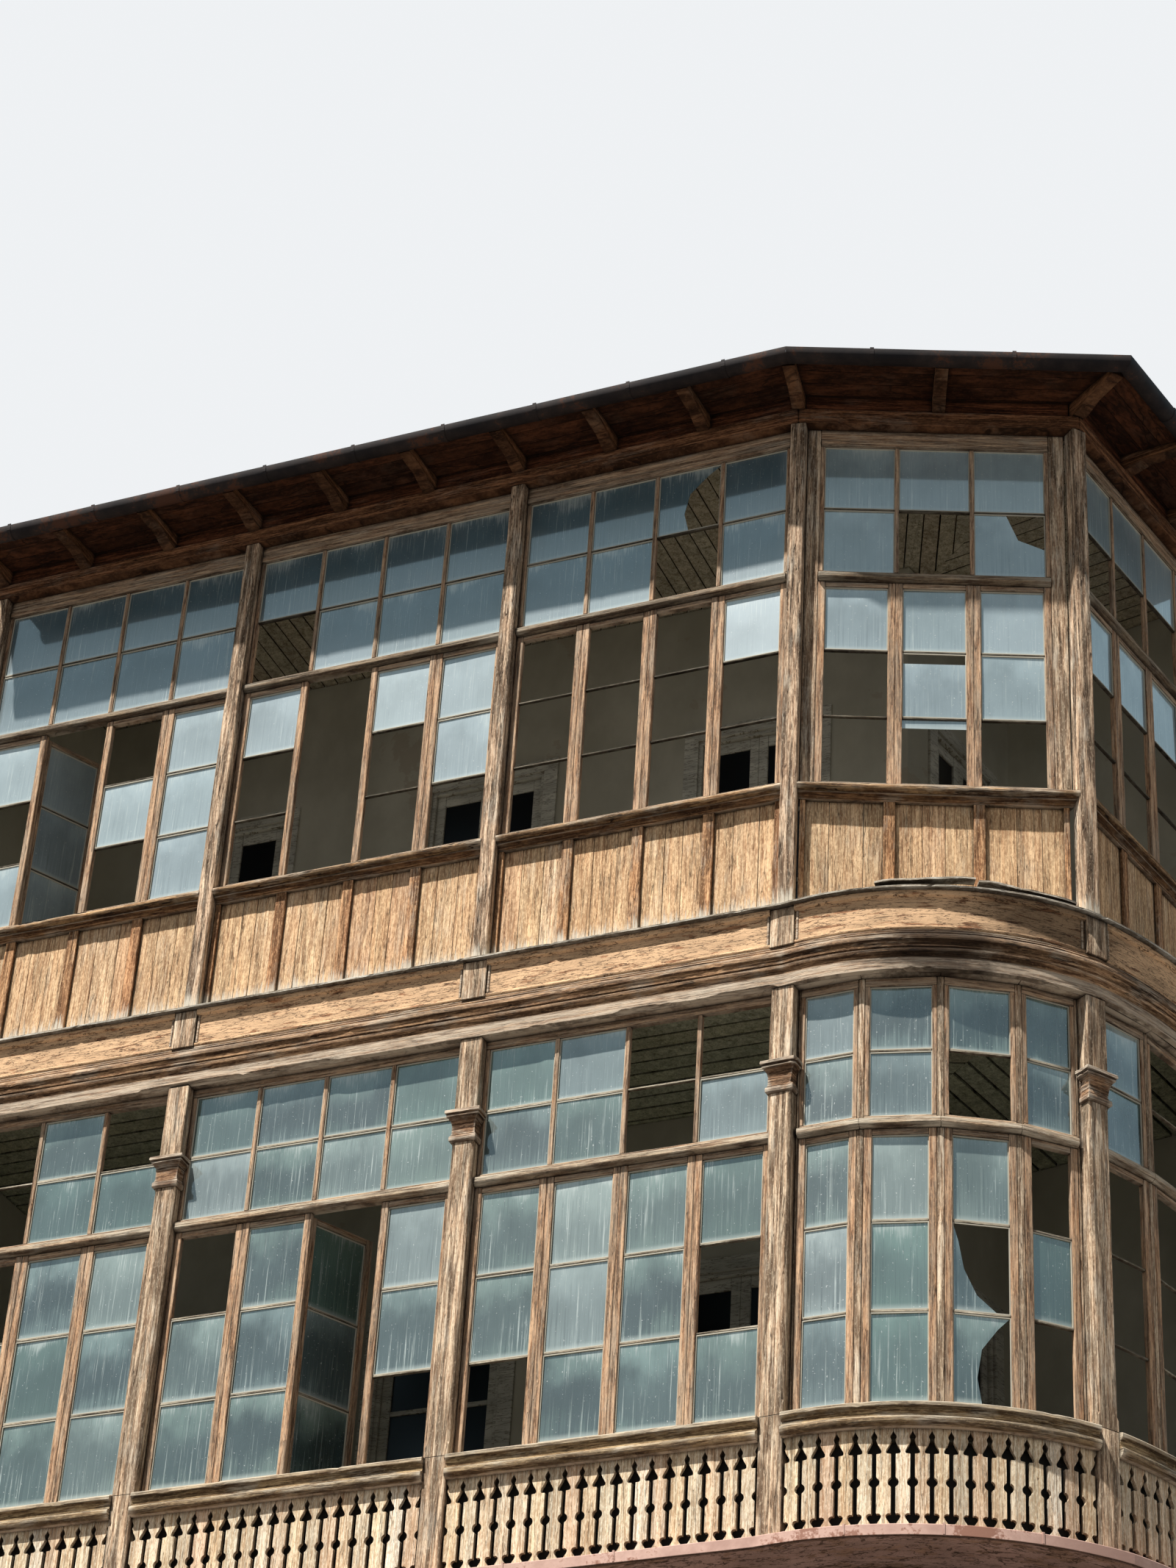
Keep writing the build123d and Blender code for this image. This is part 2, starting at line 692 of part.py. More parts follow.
def lower_windows():
    levels = (RAIL_TOP, LOWER_TRANSOM_TOP, LINTEL_Z)
    for run, tops, states in zip(lower_bays, LOWER_TOPS, LOWER_LEAVES):
        clear = POST_HALF + SHAKE
        a = max(run.first(clear, SET_BACK), run.first(clear, SASH_BACK))
        b = min(run.last(clear, 0), run.last(clear, SASH_BACK))
        window(run, a, b, levels, TOP_HEAD_H, tops, states)
        add("window_transoms", run.prism(transom_profile(LOWER_TRANSOM_TOP), a, b))
    for bow, tops, states in zip(bows, (CORNER_TOPS, WING_TOPS), (CORNER_LEAVES, WING_LEAVES)):
        for i in range(FACETS):
            run = bow.facet(i)
            clear = POST_HALF + SHAKE
            a = run.first(FACET_MULLION, SASH_BACK)
            b = run.last(FACET_MULLION, SASH_BACK)
            if i == 0:
                a = run.first(clear, SASH_BACK) + END_JAMB
            if i == FACETS - 1:
                b = run.last(clear, SET_BACK if run.half_after < 0 else SASH_BACK) - END_JAMB
            window(run, a, b, levels, TOP_HEAD_H, tops[i], [states[i]])
            facet_transom(run, a, b, i == 0, i == FACETS - 1)
            if i:
                facet_mullion(bow.facet(i - 1), run, a - SHAKE)
            else:
                add("facet_mullions", run.slab(end_jamb(run.first, a - SHAKE, SHAKE), RAIL_TOP, LINTEL_Z))
            if i == FACETS - 1:
                add("facet_mullions", run.slab(end_jamb(run.last, b + SHAKE, SHAKE), RAIL_TOP, LINTEL_Z))


def facet_mullion(previous, run, square):
    """Mullion between the windows of two facets, mitred where they meet, under and over the transom."""
    front = SET_BACK
    rear = SASH_BACK
    before = previous.last(FACET_MULLION, rear) + SHAKE
    ring = [previous.at(before, front), run.at(run.first(0, front), front), run.at(square, front),
            run.at(square, rear), run.at(run.first(0, rear), rear), previous.at(before, rear)]
    under = (RAIL_TOP, LOWER_TRANSOM_TOP - TRANSOM_H - SHAKE)
    over = (LOWER_TRANSOM_TOP + SHAKE, LINTEL_Z)
    for levels in (under, over):
        add("facet_mullions", closed_solid([[(x, y, level) for x, y, z in ring] for level in levels]))


def end_jamb(side, square, gap):
    """Outline of the jamb between a post and the square end of a window."""
    clear = POST_HALF + gap
    return [(side(clear, SET_BACK), SET_BACK), (square, SET_BACK), (square, SASH_BACK),
            (side(clear, SASH_BACK), SASH_BACK)]


# Frieze


def frieze():
    back = LOWER_POST_W
    front = FRIEZE_BACK
    half = BLOCK_W / 2
    step = STEP_OUT
    beam = [(front, LINTEL_Z), (back, LINTEL_Z), (back, DRIP_Z), (front, DRIP_Z)]
    fascia = [(-FASCIA_OUT, LINTEL_Z), (front, LINTEL_Z), (front, FASCIA_TOP), (-FASCIA_OUT, FASCIA_TOP)]
    steps = [(front, 0), (-0.17 * step, 0), (-0.58 * step, 0.22), (-0.58 * step, 0.53), (-step, 0.62),
             (-step, 0.75), (-0.4 * step, 1), (front, 1)]
    lip = PANEL_OUT + PANEL_LIP
    panel = [(-PANEL_OUT, 0), (front, 0), (front, 1), (-lip, 1), (-lip, 0.9), (-PANEL_OUT, 0.86)]
    drip = [(-DRIP_OUT, 0), (-DRIP_OUT, 0.67), (0, 1), (back, 1), (back, 0)]
    add("lintel_beams", *wrapped(beam))
    add("lintel_fascia", *wrapped(fascia))
    add("frieze_mouldings", *wrapped(moulding(steps, FASCIA_TOP, STEP_TOP)))
    add("frieze_drip", *wrapped(moulding(drip, DRIP_Z, DECK_Z)))
    profile = moulding(panel, STEP_TOP, DRIP_Z)
    for run in lower_bays:
        add("frieze_panels", run.mitred(profile, half + SHAKE, half + SHAKE))
    for bow in bows:
        add("frieze_panels", *bow.pieces(profile, half + SHAKE, half + SHAKE))
    last = len(lower_places) - 1
    for i, place in enumerate(lower_places):
        rear = front - BLOCK_SPARE
        out = BLOCK_OUT
        if i == last:
            rear -= half * math.tan(math.radians(WING_TURN / 2))
            out += FRIEZE_BACK
        s0 = -half if i else -POST_HALF
        s1 = half if i < last else POST_HALF
        add("frieze_blocks", place.block(s0, s1, -out, rear, STEP_TOP, DRIP_Z))


# Upper storey


def upper_posts():
    half = UPPER_HALF
    for i, place in enumerate(upper_places):
        low = -POST_HALF if i == 0 else -half
        high = POST_HALF if i == len(upper_places) - 1 else half
        add("upper_posts", place.block(low, high, 0, UPPER_POST_DEPTH, DECK_Z, PLATE_Z))


def parapet():
    z0 = DECK_Z
    sill_z = UPPER_SILL_TOP - SILL_H
    foot_top = z0 + PARAPET_FOOT_H
    head_z = sill_z - PARAPET_HEAD_H
    behind = PARAPET_SET + PARAPET_T
    foot_d = PARAPET_SET - FOOT_OUT
    cove_d = PARAPET_SET - COVE_OUT
    lip_d = PARAPET_SET - PARAPET_LIP
    foot_shape = [(foot_d, 0), (behind, 0), (behind, 1), (lip_d, 1), (foot_d, 0.75)]
    head_shape = [(lip_d, 0), (behind, 0), (behind, 1), (HEAD_SET, 1), (HEAD_SET, 0.74), (cove_d, 0.55),
                  (cove_d, 0.2)]
    sill_shape = [(HEAD_SET, 0), (SASH_BACK, 0), (SASH_BACK, 1), (SILL_FALL, 1), (-SILL_OUT, 0.86),
                  (-SILL_OUT, 0.3), (SILL_THROAT, 0.08)]
    foot = moulding(foot_shape, z0, foot_top)
    head = moulding(head_shape, head_z, sill_z)
    sill = moulding(sill_shape, sill_z, UPPER_SILL_TOP)
    clear = UPPER_HALF + SHAKE
    for run in upper_bays + [chord, wing]:
        add("parapet_rails", run.mitred(foot, clear, clear), run.mitred(head, clear, clear))
        add("upper_sills", run.mitred(sill, clear, clear))
        columns = 3 if run is chord else 4
        a = run.first(clear, behind)
        b = run.last(clear, behind)
        pitch = (b - a) / columns
        for i in range(columns):
            s0 = a + pitch * i + JOINT
            s1 = a + pitch * (i + 1) - JOINT
            add("parapet_panels", run.block(s0, s1, PARAPET_SET, behind, foot_top, head_z))
        for i in range(columns + 1):
            middle = a + pitch * i
            s0 = middle - BATTEN_W / 2 if i else a + JOINT
            s1 = middle + BATTEN_W / 2 if i < columns else b - JOINT
            add("parapet_battens", run.block(s0, s1, PARAPET_SET - BATTEN_T, PARAPET_SET, foot_top, head_z))


def chord_jamb(run, ends, square):
    """Jamb that squares off one end of the window on the chord, from the mitred post to a square edge."""
    front, rear = ends
    outline = [(front, SET_BACK), (square, SET_BACK), (square, SASH_BACK), (rear, SASH_BACK)]
    add("upper_jambs", run.slab(outline, UPPER_SILL_TOP, PLATE_Z))


def upper_windows():
    levels = (UPPER_SILL_TOP, UPPER_TRANSOM_TOP, PLATE_Z)
    clear = UPPER_HALF + SHAKE
    for run, tops, states in zip(upper_bays + [chord, wing], UPPER_TOPS, UPPER_LEAVES):
        a = run.first(clear, SASH_BACK)
        b = run.last(clear, SASH_BACK)
        if run is chord:
            spare = (b - a - CHORD_LEAF_W * len(states)) / 2
            chord_jamb(run, (run.first(clear, SET_BACK), a), a + spare)
            chord_jamb(run, (run.last(clear, SET_BACK), b), b - spare)
            a += spare + SHAKE
            b -= spare + SHAKE
        window(run, a, b, levels, UPPER_HEAD_H, tops, states)
        add("window_transoms", run.prism(transom_profile(UPPER_TRANSOM_TOP), a, b))


# Eaves and roof


def wall_plates():
    profile = [(-PLATE_OUT, PLATE_Z), (PLATE_IN, PLATE_Z), (PLATE_IN, PLATE_TOP), (-PLATE_OUT, PLATE_TOP)]
    outer = POST_HALF
    add("wall_plates", left.mitred(profile, -outer, JOINT))
    add("wall_plates", chord.mitred(profile, JOINT, JOINT))
    add("wall_plates", wing.mitred(profile, JOINT, -outer))


def roof_level(d, cos_half=1.0):
    """Underside of the roof boards at a depth, also along a hip at half the corner's turn."""
    return ROOF_Z + ROOF_SLOPE * d * cos_half


def rafter_profile(tail, rear, cos_half=1.0):
    """Rafter with a hollow cut under its tail and a level seat on the wall plate."""
    def top(d):
        return roof_level(d, cos_half) - (HIP_DROP if cos_half < 1.0 else 0.0)
    seat = PLATE_TOP
    tip = top(-tail)
    toe = -PLATE_OUT - JOINT
    hollow = [(-tail, tip - 0.45 * RAFTER_DEPTH), (-0.4 * tail, tip - 0.36 * RAFTER_DEPTH),
              (-0.14 * tail, seat - NOTCH / 2)]
    bearing = [(toe, seat - NOTCH), (toe, seat), (PLATE_IN + JOINT, seat)]
    return [(-tail, tip)] + hollow + bearing + [(rear, top(rear) - RAFTER_DEPTH), (rear, top(rear))]


def rafter_reach(run, s):
    """How far into the house a rafter at s runs before it meets a wall or a hip."""
    half = RAFTER_W / 2
    reach = min(wall_hit(run, s - half), wall_hit(run, s + half)) - SHAKE
    for room, turn in ((s, run.half_before), (run.length - s, run.half_after)):
        if turn:
            reach = min(reach, (room - half - half / math.cos(turn)) / math.tan(turn) - JOINT)
    return reach


def rafter_places(run):
    """Middles of the rafters on one front."""
    spacing = BAY / RAFTERS_PER_BAY
    if run is chord:
        return [chord.length / 2]
    if run is wing:
        last = wing.length + POST_HALF - RAFTER_W / 2
        return [spacing * i for i in range(1, RAFTERS_PER_BAY)] + [last]
    return [max(spacing * i, RAFTER_W / 2 - POST_HALF) for i in range(LEFT_BAYS * RAFTERS_PER_BAY)]


def rafters():
    half = RAFTER_W / 2
    for run in (left, chord, wing):
        for s in rafter_places(run):
            add("rafters", run.prism(rafter_profile(TAIL, rafter_reach(run, s)), s - half, s + half))
    for run, before in ((chord, left), (wing, chord)):
        turn = run.half_before
        place = Run(run.start, math.degrees(turn) + before.direction, 0.0)
        stretch = 1 / math.cos(turn)
        splay = half * math.tan(turn)
        reach = min(wall_hit(place, -half), wall_hit(place, half)) - SHAKE
        hip = rafter_profile(TAIL * stretch - splay, reach, math.cos(turn))
        add("hip_rafters", place.prism(hip, -half, half))


def eave_outline(run, edge, rear):
    """Roof outline between its hips, from the eave to the house wall."""
    outline = []
    if run.half_before:
        outline.append((run.first(JOINT, -edge), -edge))
    else:
        outline.append((-POST_HALF, -edge))
    if run.half_after:
        outline.append((run.last(JOINT, -edge), -edge))
    else:
        outline.append((run.length + POST_HALF, -edge))
    if run is chord:
        rear -= 3 * JOINT
        corner_s, corner_d = chord.local(*corner_at(GALLERY_DEPTH - 3 * JOINT))
        outline.append((run.last(JOINT, rear), rear))
        outline.append((corner_s, corner_d))
    else:
        end = run.length + POST_HALF if not run.half_after else run.last(JOINT, rear)
        outline.append((end, rear))
    start = run.first(JOINT, rear) if run.half_before else -POST_HALF
    outline.append((start, rear))
    return outline


def roof():
    rear = GALLERY_DEPTH - SHAKE
    for run in (left, chord, wing):
        add("roof_boards", run.sloped(eave_outline(run, TAIL, rear), ROOF_Z, BOARD_T))
        add("roof_sheets", run.sloped(eave_outline(run, SHEET_OVERHANG, rear), ROOF_Z + BOARD_T, SHEET_T))


def gutter():
    """Half-round gutter with an upright lip on both sides, hung on the tails of the rafters."""
    rim = roof_level(-TAIL) + GUTTER_LIP / 5
    low = rim - GUTTER_LIP
    middle = -TAIL - SHAKE - GUTTER_R
    sides = 6
    outer = []
    inner = []
    for i in range(sides + 1):
        angle = math.pi * i / sides
        for reach, side in ((GUTTER_R, outer), (GUTTER_R - GUTTER_T, inner)):
            side.append((middle + reach * math.cos(angle), low - reach * math.sin(angle)))
    lips = [(middle - GUTTER_R, rim), (middle - GUTTER_R + GUTTER_T, rim)]
    near = [(middle + GUTTER_R - GUTTER_T, rim), (middle + GUTTER_R, rim)]
    profile = outer + lips + inner[::-1] + near
    add("gutter", left.mitred(profile, -POST_HALF, JOINT / 2))
    add("gutter", chord.mitred(profile, JOINT / 2, JOINT / 2))
    add("gutter", wing.mitred(profile, JOINT / 2, -POST_HALF))


def blocking():
    """Boards that close the eaves between the rafters, above the wall plate."""
    half = RAFTER_W / 2 + SHAKE
    d0 = BLOCKING_SET
    d1 = BLOCKING_SET + BLOCKING_T
    profile = [(d0, PLATE_TOP), (d1, PLATE_TOP), (d1, roof_level(d1) - SHAKE), (d0, roof_level(d0) - SHAKE)]
    for run in (left, chord, wing):
        places = rafter_places(run)
        edges = [run.first(half, d1)] if run.half_before else []
        for s in places:
            edges += [s - half, s + half]
        if run.half_after:
            edges.append(run.last(half, d1))
        if not run.half_before:
            edges = edges[1:]
        if not run.half_after:
            edges = edges[:-1]
        for s0, s1 in zip(edges[0::2], edges[1::2]):
            add("eaves_blocking", run.prism(profile, s0, s1))


# House wall


def door_levels():
    return ((FLOOR_Z, FLOOR_Z + DOOR_H), (DECK_Z, DECK_Z + UPPER_DOOR_H))


def house_wall():
    d0 = GALLERY_DEPTH
    d1 = HOUSE_BACK
    half = DOOR_W / 2
    centres = [BAY * (i + 0.5) + DOOR_SHIFT for i in range(LEFT_BAYS)]
    edges = [-POST_HALF]
    for centre in centres:
        edges += [centre - half, centre + half]
    for a, b in zip(edges[0:-1:2], edges[1::2]):
        add("house_wall_piers", left.block(a, b, d0, d1, 0, WALL_TOP))
    wing_end = wing.length + POST_HALF
    wing_middle = (wing_corner_s + wing_end) / 2 + WING_DOOR_SHIFT
    wing_a = wing_middle - WING_DOOR_W / 2
    wing_b = wing_middle + WING_DOOR_W / 2
    corner = [left.at(edges[-1], d0), house_corner, wing.at(wing_a, d0), wing.at(wing_a, d1), corner_at(d1),
              left.at(edges[-1], d1)]
    add("house_wall_piers", closed_solid([[(p[0], p[1], z) for p in corner] for z in (0, WALL_TOP)]))
    add("house_wall_piers", wing.block(wing_b, wing_end, d0, d1, 0, WALL_TOP))
    spans = [(left, c - half, c + half) for c in centres] + [(wing, wing_a, wing_b)]
    (low0, low1), (up0, up1) = door_levels()
    for run, a, b in spans:
        for z0, z1 in ((0, low0), (low1, up0), (up1, WALL_TOP)):
            add("house_wall_spandrels", run.block(a, b, d0, d1, z0, z1))
        for z0, z1 in door_levels():
            inner_door(run, a, b, z0, z1)


def inner_door(run, a, b, z0, z1):
    """Casing on the wall face, frame in the opening and a closed pair of leaves."""
    face = GALLERY_DEPTH
    lap = CASING_LAP
    out = CASING_W - CASING_LAP
    d0 = face - CASING_T
    head = z1 - lap
    add("door_casings", run.block(a - out, a + lap, d0, face, z0, head))
    add("door_casings", run.block(b - lap, b + out, d0, face, z0, head))
    add("door_casings", run.block(a - out, b + out, d0, face, head + JOINT, z1 + out))
    inner_a = a + FRAME_W
    inner_b = b - FRAME_W
    high = z1 - FRAME_W
    add("door_frames", run.block(a, inner_a, face + JOINT, face + FRAME_D, z0, z1))
    add("door_frames", run.block(inner_b, b, face + JOINT, face + FRAME_D, z0, z1))
    add("door_frames", run.block(inner_a + SHAKE, inner_b - SHAKE, face + JOINT, face + FRAME_D, high, z1))
    middle = (a + b) / 2
    rebate = face + LEAF_SET
    for s0, s1 in ((inner_a + SHAKE, middle - SHAKE), (middle + SHAKE, inner_b - SHAKE)):
        add("door_leaves", run.block(s0, s1, rebate, rebate + LEAF_T, z0 + SHAKE, high - SHAKE))


def party_walls():
    t = PARTY_WALL_T
    end = wing.length + POST_HALF
    add("party_walls", left.block(-POST_HALF - t, -POST_HALF, 0, HOUSE_BACK, 0, WALL_TOP))
    add("party_walls", wing.block(end, end + t, 0, HOUSE_BACK, 0, WALL_TOP))


base()
floors()
joists()
lower_posts()
balustrade()
handrails()
lower_windows()
frieze()
upper_posts()
parapet()
upper_windows()
wall_plates()
rafters()
blocking()
roof()
gutter()
house_wall()
party_walls()

os.makedirs("parts", exist_ok=True)
for name, solids in nodes.items():
    shape = Compound(children=solids) if len(solids) > 1 else solids[0]
    shape.label = name
    export_step(shape, f"parts/{name}.step")
print(len(nodes), "nodes,", sum(len(s) for s in nodes.values()), "solids")
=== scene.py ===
import math
import random

import bmesh
import bpy
from mathutils import Matrix, Vector, noise


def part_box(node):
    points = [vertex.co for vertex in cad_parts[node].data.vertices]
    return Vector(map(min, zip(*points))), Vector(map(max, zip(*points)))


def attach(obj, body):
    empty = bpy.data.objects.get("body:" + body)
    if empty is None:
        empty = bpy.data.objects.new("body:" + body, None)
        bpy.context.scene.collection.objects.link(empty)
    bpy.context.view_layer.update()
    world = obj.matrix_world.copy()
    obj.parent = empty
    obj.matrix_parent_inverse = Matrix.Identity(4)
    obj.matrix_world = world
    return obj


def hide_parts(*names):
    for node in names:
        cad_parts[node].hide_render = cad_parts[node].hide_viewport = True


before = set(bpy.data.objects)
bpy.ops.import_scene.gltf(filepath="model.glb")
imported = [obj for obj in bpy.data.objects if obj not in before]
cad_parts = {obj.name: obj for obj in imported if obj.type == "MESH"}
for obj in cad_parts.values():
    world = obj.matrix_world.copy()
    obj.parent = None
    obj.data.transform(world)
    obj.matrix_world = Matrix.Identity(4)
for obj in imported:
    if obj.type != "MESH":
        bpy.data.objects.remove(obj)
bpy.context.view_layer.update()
noise.seed_set(7)

# Plan of the galleries in metres: straight left front, corner chord, wing, and the bowed bays below
BAY = 2.2
LEFT_BAYS = 3
CORNER_CHORD = 2.01
CORNER_DIR = 21.1
WING_DIR = 78.0
CORNER_TURN = 61.0
WING_TURN = 40.0
FACETS = 4
GALLERY_DEPTH = 1.85
JOINT = 0.001

# Levels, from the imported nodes
CORNICE_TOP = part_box("base_cornice")[1][2]
FLOOR_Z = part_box("post_pedestals")[0][2]
RAIL_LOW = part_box("handrails")[0][2]
RAIL_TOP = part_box("handrails")[1][2]
ASTRAGAL_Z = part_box("post_capitals")[0][2]
ABACUS_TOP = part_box("post_capitals")[1][2]
LINTEL_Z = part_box("lintel_fascia")[0][2]
FASCIA_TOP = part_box("lintel_fascia")[1][2]
STEP_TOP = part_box("frieze_mouldings")[1][2]
DRIP_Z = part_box("frieze_drip")[0][2]
DECK_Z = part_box("frieze_drip")[1][2]
SILL_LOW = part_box("upper_sills")[0][2]
SILL_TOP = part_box("upper_sills")[1][2]
PLATE_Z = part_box("wall_plates")[0][2]
TRANSOM_H = 0.058
LOWER_TRANSOM_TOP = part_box("window_transoms")[0][2] + TRANSOM_H
UPPER_TRANSOM_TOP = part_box("window_transoms")[1][2]

# Sizes of the joinery
POST_HALF = 0.0785
UPPER_HALF = 0.055
SET_BACK = 0.08
SASH_T = 0.042
SASH_BACK = SET_BACK + SASH_T
STILE_W = 0.05
BAR_W = 0.022
SHAKE = 0.0005


class Run:
    """A straight stretch of the front. s runs along it, d goes into the house."""

    def __init__(self, start, direction, length=0.0, turn_before=0.0, turn_after=0.0):
        rad = math.radians(direction)
        self.start = start
        self.direction = direction
        self.length = length
        self.along = (math.cos(rad), math.sin(rad))
        self.inward = (-self.along[1], self.along[0])
        self.half_before = math.radians(turn_before) / 2
        self.half_after = math.radians(turn_after) / 2

    def at(self, s, d, z=0.0):
        x, y = (p + s * a + d * i for p, a, i in zip(self.start, self.along, self.inward))
        return Vector((x, y, z))

    def spot(self, s, d=0.0, turn=0.0):
        """A run without length that starts at a place of this one."""
        return Run(self.at(s, d)[:2], self.direction + turn)

    def how_far(self, point):
        """Distance along the run and into the house of a point."""
        away = Vector((point[0] - self.start[0], point[1] - self.start[1]))
        return Vector((away.dot(Vector(self.along)), away.dot(Vector(self.inward))))

    def first(self, clear, d):
        return clear / math.cos(self.half_before) + d * math.tan(self.half_before)

    def last(self, clear, d):
        return self.length - clear / math.cos(self.half_after) - d * math.tan(self.half_after)

    def span(self, clear, d):
        return self.first(clear, d), self.last(clear, d)


class Bow:
    """A bay that bows out in plan between two posts."""

    def __init__(self, chord, turn):
        self.radius = chord.length / 2 / math.sin(math.radians(turn) / 2)
        self.start_dir = chord.direction - turn / 2
        self.turn = turn
        rad = math.radians(self.start_dir)
        x, y = chord.start
        self.centre = (x - self.radius * math.sin(rad), y + self.radius * math.cos(rad))

    def at(self, angle, out, z=0.0):
        rad = math.radians(self.start_dir + angle)
        reach = self.radius + out
        return Vector((self.centre[0] + reach * math.sin(rad), self.centre[1] - reach * math.cos(rad), z))

    def spot(self, angle):
        return Run(self.at(angle, 0)[:2], self.start_dir + angle)

    def side(self, i, count):
        """One of the short straight sides that follow the bow."""
        step = self.turn / count
        direction = self.start_dir + step * (i + 0.5)
        length = 2 * self.radius * math.sin(math.radians(step) / 2)
        before = step if i else 2 * (direction - self.first_post.direction)
        after = step if i < count - 1 else 2 * (self.last_post.direction - direction)
        return Run(self.at(step * i, 0)[:2], direction, length, before, after)


turn_out = WING_DIR - CORNER_DIR
left = Run((-LEFT_BAYS * BAY, 0.0), 0.0, LEFT_BAYS * BAY, 0.0, CORNER_DIR)
chord = Run(left.at(left.length, 0)[:2], CORNER_DIR, CORNER_CHORD, CORNER_DIR, turn_out)
wing = Run(chord.at(chord.length, 0)[:2], WING_DIR, BAY, turn_out)
bows = [Bow(chord, CORNER_TURN), Bow(wing, WING_TURN)]
bow_start = bows[0].start_dir
bow_meet = (bow_start + CORNER_TURN + bows[1].start_dir) / 2
lower_places = [left.spot(i * BAY) for i in range(LEFT_BAYS)]
corners = ((chord.start, bow_start / 2), (wing.start, bow_meet), (wing.at(BAY, 0)[:2], WING_DIR))
lower_places += [Run(start, direction) for start, direction in corners]
bows[0].first_post, bows[0].last_post = lower_places[-3:-1]
bows[1].first_post, bows[1].last_post = lower_places[-2:]


def straight_bays(turn_after):
    turns = [0.0] * (LEFT_BAYS - 1) + [turn_after]
    return [Run(left.at(i * BAY, 0)[:2], 0.0, BAY, 0.0, turn) for i, turn in enumerate(turns)]


lower_bays = straight_bays(bow_start)
upper_runs = straight_bays(CORNER_DIR) + [chord, wing]
lower_left = Run(left.start, 0.0, left.length, 0.0, bow_start)


# Materials


class Wire:
    """A value inside a material, which can be reckoned with."""

    def __init__(self, shader, socket):
        self.shader = shader
        self.socket = socket

    def __add__(self, other):
        return self.shader.math("ADD", self, other)

    def __sub__(self, other):
        return self.shader.math("SUBTRACT", self, other)

    def __rsub__(self, other):
        return self.shader.math("SUBTRACT", other, self)

    def __mul__(self, other):
        return self.shader.math("MULTIPLY", self, other)

    def __gt__(self, other):
        return self.shader.math("GREATER_THAN", self, other)

    def __abs__(self):
        return self.shader.math("ABSOLUTE", self)


class Shader:
    """Short ways to add nodes to one material, or to the world."""

    def __init__(self, name, kind="Material"):
        self.owner = (bpy.data.materials if kind == "Material" else bpy.data.worlds).new(name)
        self.owner.use_nodes = True
        self.nodes = self.owner.node_tree.nodes
        self.nodes.clear()
        self.out = self.nodes.new("ShaderNodeOutput" + kind)
        self.place = self.node("ShaderNodeTexCoord", (), "Object")
        self.coord = self.place

    def put(self, socket, value):
        if isinstance(value, Wire):
            self.owner.node_tree.links.new(value.socket, socket)
        elif isinstance(value, (int, float)):
            socket.default_value = value
        else:
            socket.default_value = tuple(value) + ((1.0,) if socket.type == "RGBA" else ())

    def node(self, kind, inputs=(), out=0, **settings):
        """An output of a new node. Inputs go by place, or by a dict of places or names."""
        made = self.nodes.new(kind)
        for key, value in settings.items():
            setattr(made, key, value)
        for key, value in (inputs if isinstance(inputs, dict) else dict(enumerate(inputs))).items():
            self.put(made.inputs[key], value)
        return Wire(self, made.outputs[out])

    def vector(self, operation, a, b, out=0):
        return self.node("ShaderNodeVectorMath", (a, b), out, operation=operation)

    def stretched(self, x, y, z):
        return self.vector("MULTIPLY", self.coord, (x, y, z))

    def attribute(self, name):
        return self.node("ShaderNodeAttribute", (), "Fac", attribute_name=name)

    def geometry(self, name):
        return self.node("ShaderNodeNewGeometry", (), name)

    def axis(self, vector, name):
        return self.node("ShaderNodeSeparateXYZ", (vector,), name)

    def noise(self, vector, detail=4.0, rough=0.6, warp=0.0):
        inputs = {"Vector": vector, "Scale": 1.0, "Detail": detail, "Roughness": rough, "Distortion": warp}
        return self.node("ShaderNodeTexNoise", inputs, "Fac")

    def cells(self, vector):
        return self.node("ShaderNodeTexVoronoi", {"Vector": vector, "Scale": 1.0}, feature="DISTANCE_TO_EDGE")

    def math(self, operation, a, b=0.0):
        return self.node("ShaderNodeMath", (a, b), operation=operation)

    def step(self, value, low, high, to_low=0.0, to_high=1.0):
        inputs = (value, low, high, to_low, to_high)
        return self.node("ShaderNodeMapRange", inputs, interpolation_type="SMOOTHSTEP")

    def mix(self, factor, a, b, blend="MIX"):
        return self.node("ShaderNodeMix", {0: factor, 6: a, 7: b}, 2, data_type="RGBA", blend_type=blend)

    def ramp(self, value, stops):
        made = self.nodes.new("ShaderNodeValToRGB")
        self.put(made.inputs[0], value)
        elements = made.color_ramp.elements
        while len(elements) < len(stops):
            elements.new(0.5)
        for element, (place, colour) in zip(elements, stops):
            element.position = place
            element.color = tuple(colour) + (1.0,)
        return Wire(self, made.outputs[0])

    def hollow_dirt_and_shade(self, colour, reach, low, high, amount, dark):
        """Darker in corners and under ledges: painted shade, with some dirt."""
        open_air = self.node("ShaderNodeAmbientOcclusion", {"Distance": reach}, "AO", samples=6)
        return self.mix(self.step(open_air, low, high), self.mix(amount, colour, dark), colour)

    def burnt(self, colour, burn, waver, amount):
        """Blackened round a place, out to a radius that wavers."""
        radius = burn[3]
        away = self.vector("DISTANCE", self.place, burn[:3], "Value") + (waver - 0.5) * (1.6 * radius)
        return self.mix(self.step(away, radius, 0.35 * radius) * amount, colour, lit(*SOOT_AND_SHADE))

    def shown(self, surface):
        self.put(self.out.inputs["Surface"], surface)
        return self.owner

    def finish(self, colour, rough, height=None, strength=0.0, distance=0.0, gloss=0.5):
        inputs = {"Base Color": colour, "Roughness": rough, "Specular IOR Level": gloss}
        if height:
            relief = {"Strength": strength, "Distance": distance, "Height": height}
            inputs["Normal"] = self.node("ShaderNodeBump", relief)
        return self.shown(self.node("ShaderNodeBsdfPrincipled", inputs))


def srgb(*colour):
    """Linear colour of a colour given as 0 to 255."""
    def linear(c):
        return c / 12.92 if c < 0.04045 else ((c + 0.055) / 1.055) ** 2.4
    return [linear(c / 255.0) for c in colour]


def scaled(colour, factor):
    return [c * factor for c in colour]


